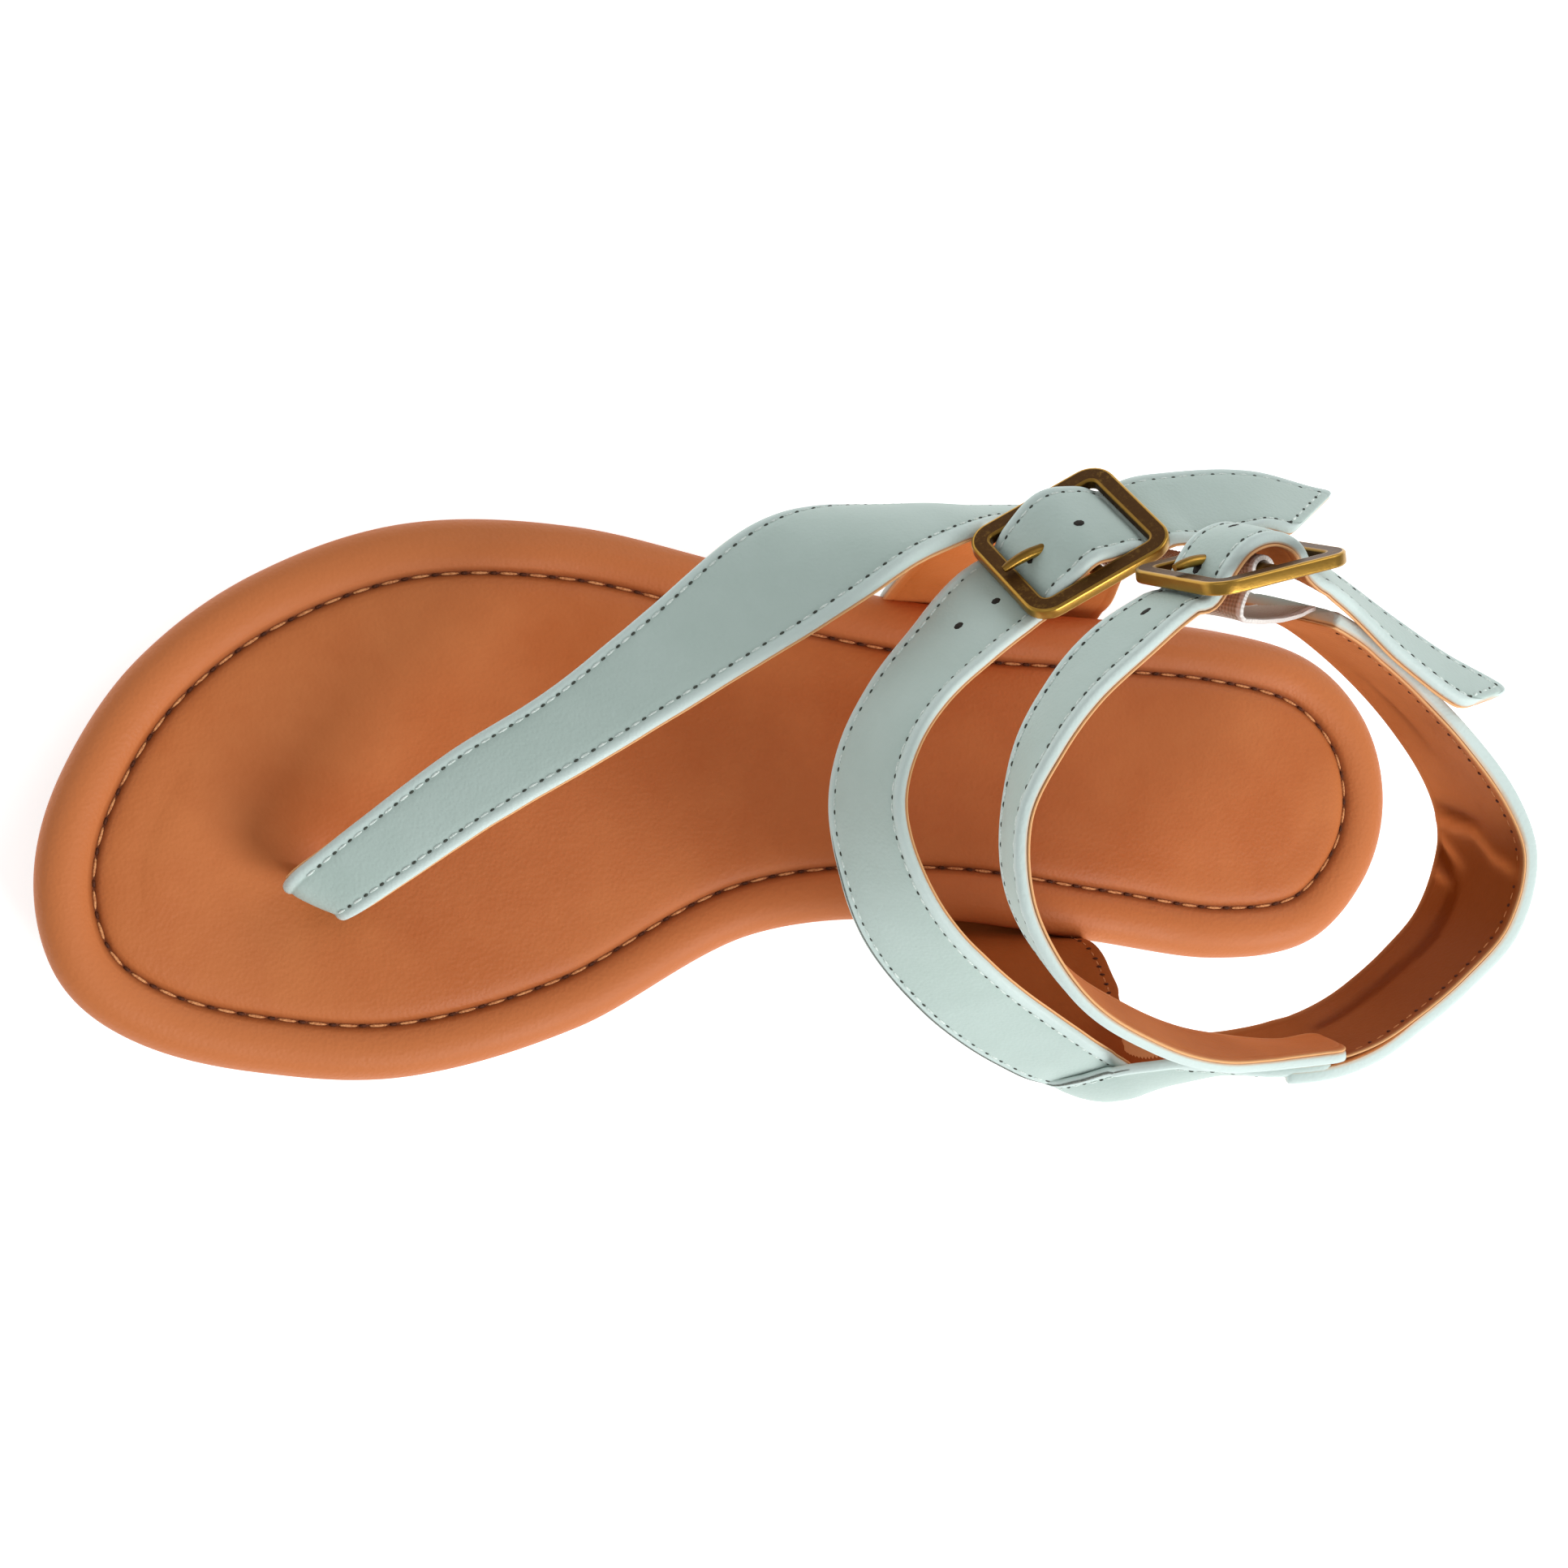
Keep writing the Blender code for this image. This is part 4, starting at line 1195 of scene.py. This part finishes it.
def make_seams():
    """Seams along both edges and the slanted tip of each strap, inside the heel and round the footbed."""
    from_start, from_end = 3.0, 2.2
    for strap in STRAPS:
        layer = strap.leather
        begin = POST_TOP if strap.band is vamp else strap.start + from_start
        height = SEAM_HEIGHT + layer.padding
        runs = []
        for share in (-1, 1):
            route = edge_route(strap.band, begin, share, SEAM_INSET, height, strap.lift, layer.flare)
            runs.append((route, layer.end - from_end - begin))
        if strap.band.slant:
            across = strap.band.section(layer.end).width - 2 * SEAM_INSET
            runs.append((tip_route(strap.band, SEAM_INSET, LEATHER_CROWN - 0.06), across))
        make_stitches(strap.name, mint_thread, needle_shade, runs, STRAP_STITCH)
    top = edge_route(quarters, HEEL_START + 8.0, -1, SEAM_INSET, LINING_SEAM_HEIGHT)
    rear = edge_route(
        quarters, 104.0, 1, SEAM_INSET, LINING_SEAM_HEIGHT, lift_inner_quarter, quarter_lining_flare
    )
    runs = [(top, quarters.length - HEEL_START - 11.0), (rear, 50.0)]
    make_stitches("heel_lining", tan_thread, needle_shade_brown, runs, LINING_STITCH)
    runs = [channel_route()]
    make_stitches("footbed_seam", tan_thread, needle_shade_brown, runs, CHANNEL_STITCH)


def edge_line(bm, route, length, radius):
    """A thin round line along a route, thinner towards its ends."""
    sides = 6
    taper = 8.0
    count = math.ceil(length / 1.2)

    def put(vert, row, column):
        place = length * row / count
        angle = 2 * math.pi * column / sides
        point, out = route(place)
        along = heading(route, place).normalized()
        side = along.cross(out).normalized()
        thin = min(1.0, 0.25 + place / taper, 0.25 + (length - place) / taper)
        return point + radius * thin * (math.cos(angle) * side + math.sin(angle) * side.cross(along))

    roll_tube(bm, count + 1, sides, put)


def make_edge_lines():
    """Thin dark grey lines along the front edge of the instep strap and along the inner quarter's lip,
    where the line paints the shade of the gap under the lip.
    """
    bm = bmesh.new()
    # Grey line along the instep strap's front edge
    front = edge_route(instep, 8.0, -1, 0.75, 1.12, lift_instep)
    edge_line(bm, front, 66.0, 0.2)
    # Painted shade: a dark line for the gap where the lip lies on the instep strap
    lip = edge_route(quarters, 137.0, -1, -0.02, 0.2, lift_inner_quarter, quarter_flare)
    edge_line(bm, lip, 18.0, 0.26)
    close_ends(bm)
    make_piece("edge_lines", bm, edge_grey)


# Punched holes: strap, place and side, and the hole's half length and half width
Hole = namedtuple("Hole", "band lift place side length width")
HOLES = (
    Hole(instep, lift_instep, 112.3, -0.7, 1.0, 0.75),
    Hole(instep, lift_instep, 120.3, 0.9, 1.0, 0.75),
    Hole(instep, lift_instep, 131.2, 0.0, 1.3, 1.0),
    Hole(instep, lift_instep, 142.0, 0.9, 1.0, 0.85),
    Hole(ankle, lift_ankle, 129.7, -0.1, 1.2, 0.7),
    Hole(ankle, lift_ankle, 142.8, 0.0, 1.2, 1.0),
    Hole(ankle, lift_ankle, 152.0, -1.5, 1.1, 0.5),
)
HOLE_HEIGHT = 1.24
HOLE_DEPTH = 0.2


# Dark beads in the strap holes paint the shade inside the holes
def make_holes():
    bm = bmesh.new()
    for hole in HOLES:
        section = hole.band.section(hole.place)
        height = HOLE_HEIGHT + hole.lift(hole.place, hole.side)
        point = hole.band.point(hole.place, hole.side, height)
        bead(bm, point, section.along, section.outward, (hole.length, hole.width, HOLE_DEPTH))
    make_piece("punched_hole_shades", bm, punch_shade)


# Buckles

def make_frame(buckle):
    """Cast frame: a rounded plate with a window, thickened and softened, and its centre bar."""
    bm = bmesh.new()
    bmesh.ops.create_grid(bm, x_segments=1, y_segments=1, size=0.5)
    bmesh.ops.scale(bm, vec=(FRAME_WIDTH, FRAME_LENGTH, 1.0), verts=bm.verts)
    bmesh.ops.bevel(
        bm, geom=bm.verts[:], offset=OUTER_CORNER, offset_type='OFFSET', segments=8, profile=0.5,
        affect='VERTICES', material=-1,
    )
    window = bmesh.ops.inset_region(
        bm, faces=bm.faces[:], thickness=BAR_WIDTH, use_boundary=True, use_even_offset=True
    )
    ring = window["faces"]
    bmesh.ops.delete(bm, geom=[face for face in bm.faces if face not in ring], context='FACES')
    bmesh.ops.translate(bm, vec=(0, 0, -BAR_THICKNESS / 2), verts=bm.verts)
    top = bmesh.ops.extrude_face_region(bm, geom=bm.faces[:], use_keep_orig=True)
    raised = [item for item in top["geom"] if isinstance(item, bmesh.types.BMVert)]
    bmesh.ops.translate(bm, vec=(0, 0, BAR_THICKNESS), verts=raised)
    bmesh.ops.recalc_face_normals(bm, faces=bm.faces)
    corners = [edge for edge in bm.edges if edge.calc_face_angle(0.0) > 1.0]
    bmesh.ops.bevel(
        bm, geom=corners, offset=FRAME_ROUNDING, offset_type='OFFSET', segments=4, profile=0.5,
        affect='EDGES', material=-1,
    )
    [rub] = new_layers(bm, "rub")
    rub_edges(bm, rub)
    bar = bmesh.ops.create_cone(
        bm, cap_ends=True, segments=20, radius1=CENTRE_BAR_RADIUS, radius2=CENTRE_BAR_RADIUS,
        depth=FRAME_WIDTH - BAR_WIDTH, matrix=Matrix.Rotation(math.pi / 2, 4, 'Y'),
    )
    for vert in bar["verts"]:
        vert[rub] = 0.4
    bmesh.ops.transform(bm, matrix=buckle_matrix(buckle), verts=bm.verts)
    node = "buckle_frame_" + buckle.name
    make_piece(node + "_cast", bm, brass, [node], sharp=40.0)


def rub_edges(bm, rub):
    """Mark where a frame is rubbed bright: its outer edges most, its window less, its flats not at all."""
    for vert in bm.verts:
        inside = abs(vert.co.x) < FRAME_WIDTH / 2 - 2 and abs(vert.co.y) < FRAME_LENGTH / 2 - 2
        low = abs(vert.co.z) < BAR_THICKNESS / 2 - 0.3
        vert[rub] = (0.1 if low else 0.55) if inside else (0.75 if low else 1.0)
    flats = [face for face in bm.faces if abs(face.normal.z) > 0.999]
    for way in (1, -1):
        one_side = [face for face in flats if way * face.normal.z > 0]
        bmesh.ops.inset_region(bm, faces=one_side, thickness=RUBBED_RIM, depth=0.0, use_even_offset=True)
        for face in one_side:
            for vert in face.verts:
                vert[rub] = 0.0


def prong_path():
    """Middle of the prong's wire: most of a turn round the centre bar, then over to the near bar."""
    start, end = math.radians(-140), math.radians(105)
    path = []
    for k in range(25):
        angle = start + (end - start) * k / 24
        path.append(Vector((0, PRONG_LOOP_RADIUS * math.cos(angle), PRONG_LOOP_RADIUS * math.sin(angle))))
    reach = [path[-2], path[-1]] + [Vector((0, a.along, a.outward)) for a in PRONG_REACH]
    reach.append(2 * reach[-1] - reach[-2])
    for k in range(1, len(reach) - 2):
        rows = [(j, reach[k - 1 + j]) for j in range(4)]
        path += [Vector(hermite(*rows, step / 4)) for step in range(1, 5)]
    return path


def make_prong(buckle):
    """Wire prong, a little flattened and thinner towards its tip."""
    path = prong_path()
    last = len(path) - 1
    sides = 14
    across = Vector((1, 0, 0))
    bm = bmesh.new()
    [rub] = new_layers(bm, "rub")

    def put(vert, row, column):
        angle = 2 * math.pi * column / sides
        along = (path[min(row + 1, last)] - path[max(row - 1, 0)]).normalized()
        radius = 1.15 * PRONG_RADIUS * (0.6 + 0.4 * math.sqrt(min((last - row) / 6, 1.0)))
        vert[rub] = 0.35 + 0.6 * math.sin(angle) ** 2
        normal = along.cross(across)
        return path[row] + radius * (math.cos(angle) * normal + 1.05 * math.sin(angle) * across)

    roll_tube(bm, len(path), sides, put)
    close_ends(bm)
    bmesh.ops.transform(bm, matrix=buckle_matrix(buckle), verts=bm.verts)
    node = "buckle_prong_" + buckle.name
    make_piece(node + "_wire", bm, brass, [node])


def elastic_layer(band, start, end, low, high):
    """A strip of elastic between two sides of a band, with corded faces."""
    cord_rise = 0.16
    border = 1.0
    cords = max(2, round((high - low) / ELASTIC_CORD))
    face = [(low + (high - low) * k / (2 * cords), (k % 2) * cord_rise) for k in range(2 * cords + 1)]
    section = [(side, ELASTIC_THICKNESS / 2 - cord_rise + rise) for side, rise in face]
    section += [(side, -ELASTIC_THICKNESS / 2 + cord_rise - rise) for side, rise in reversed(face)]
    count = max(2, math.ceil((end - start) / 0.7))
    bm = bmesh.new()
    across, along, selvage = new_layers(bm, "across", "along", "selvage")

    def put(vert, row, column):
        place = start + (end - start) * row / count
        side, height = section[column]
        vert[across] = side
        vert[along] = place
        vert[selvage] = 1.0 if max(abs(low), abs(high)) - abs(side) < border else 0.0
        return band.point(place, side, height)

    roll_tube(bm, count + 1, len(section), put)
    close_ends(bm)
    return bm


def make_elastic(buckle, start, width, rows, turn_from, turn_to):
    """Elastic band: two narrow strips round the centre bar beside the prong, then the whole band."""
    loop_radius = CENTRE_BAR_RADIUS + GAP + ELASTIC_THICKNESS / 2
    steps = 12
    loop = []
    for k in range(steps + 1):
        angle = math.radians(turn_from + (turn_to - turn_from) * k / steps)
        loop.append(Arch(loop_radius * math.cos(angle), loop_radius * math.sin(angle)))
    band = Band(rows_through(buckle, tuple(loop) + start, width) + rows)
    split = band.places[steps + 1] + 0.6
    slit = PRONG_RADIUS + 0.6
    node = "elastic_" + buckle.name
    for name, begin, end, low, high in (
        ("upper_strip", 0.0, split, slit, width / 2),
        ("lower_strip", 0.0, split, -width / 2, -slit),
        ("band", split, band.length, -width / 2, width / 2),
    ):
        strip = elastic_layer(band, begin, end, low, high)
        make_piece(node + "_" + name, strip, elastic_weave, [node])


# Stage

Lamp = namedtuple("Lamp", "name spot size power")
LAMPS = (
    Lamp("key", (0.7, -0.85, 0.95), 0.9, 16.5),
    Lamp("heel", (0.8, 0.85, 0.95), 0.9, 4.5),
    Lamp("fill", (-0.9, 0.3, 1.1), 1.2, 2.0),
)
LAMP_TARGET = Vector((0, 0, 0.03))
FLOOR_HALF_SIZE = 3.0
FLOOR_DROP = 0.0003
STUDIO_LIGHT = 0.4
STUDIO_SEEN = 1.0


def make_floor():
    bm = bmesh.new()
    bmesh.ops.create_grid(bm, x_segments=8, y_segments=8, size=FLOOR_HALF_SIZE)
    bmesh.ops.translate(bm, vec=(0, 0, -FLOOR_DROP), verts=bm.verts)
    mesh = bpy.data.meshes.new("floor")
    bm.to_mesh(mesh)
    bm.free()
    floor = bpy.data.objects.new("floor", mesh)
    bpy.context.scene.collection.objects.link(floor)
    mesh.materials.append(new_material("pale_floor", {
        "Base Color": (0.9, 0.9, 0.9, 1.0), "Roughness": 0.9,
        "Emission Color": (1.0, 1.0, 1.0, 1.0), "Emission Strength": 0.62,
    })[0])


def make_light():
    """White studio, dimmer as a light than it looks behind the floor, and its soft lamps."""
    world = bpy.data.worlds.new("studio")
    world.use_nodes = True
    tree = world.node_tree
    background = tree.nodes["Background"]
    background.inputs["Color"].default_value = (1.0, 1.0, 1.0, 1.0)
    seen = add_node(tree, 'ShaderNodeLightPath').outputs["Is Camera Ray"]
    tree.links.new(rescale(tree, seen, STUDIO_LIGHT, STUDIO_SEEN), background.inputs["Strength"])
    bpy.context.scene.world = world
    for lamp in LAMPS:
        light = bpy.data.lights.new(lamp.name, 'AREA')
        light.shape = 'DISK'
        light.size = lamp.size
        light.energy = lamp.power
        holder = bpy.data.objects.new(lamp.name, light)
        holder.location = lamp.spot
        holder.rotation_mode = 'QUATERNION'
        holder.rotation_quaternion = (LAMP_TARGET - Vector(lamp.spot)).to_track_quat('-Z', 'Y')
        bpy.context.scene.collection.objects.link(holder)
    bpy.context.scene.view_settings.view_transform = 'Standard'


def make_camera():
    """Camera of the photograph: above the ball of the foot, tilted towards the heel."""
    image_width, focal_pixels, sensor = 1932, 3466.0, 36.0
    tilt = math.radians(20)
    target = Vector((129.3, 0.0, 15.0))
    distance = 500.0
    look = Vector((math.sin(tilt), 0.0, -math.cos(tilt)))
    right = Vector((math.cos(tilt), 0.0, math.sin(tilt)))
    upwards = right.cross(look)
    data = bpy.data.cameras.new("photo_camera")
    data.sensor_width = sensor
    data.lens = focal_pixels / image_width * sensor
    data.clip_start = 0.01
    data.clip_end = 50.0
    camera = bpy.data.objects.new("photo_camera", data)
    camera.location = (target - distance * look + SHIFT) * MM
    camera.rotation_mode = 'QUATERNION'
    camera.rotation_quaternion = Matrix((right, upwards, -look)).transposed().to_quaternion()
    bpy.context.scene.collection.objects.link(camera)
    bpy.context.scene.camera = camera


make_camera()
make_floor()
make_light()
make_footbed()
make_outsole()
make_straps()
make_seams()
make_edge_lines()
make_holes()
for buckle in (INSTEP_BUCKLE, ANKLE_BUCKLE):
    make_frame(buckle)
    make_prong(buckle)
make_elastic(INSTEP_BUCKLE, INSTEP_ELASTIC_START, INSTEP_ELASTIC_WIDTH, INSTEP_ELASTIC, 210, -40)
make_elastic(ANKLE_BUCKLE, ANKLE_ELASTIC_START, ANKLE_ELASTIC_WIDTH, ANKLE_ELASTIC, -30, 220)
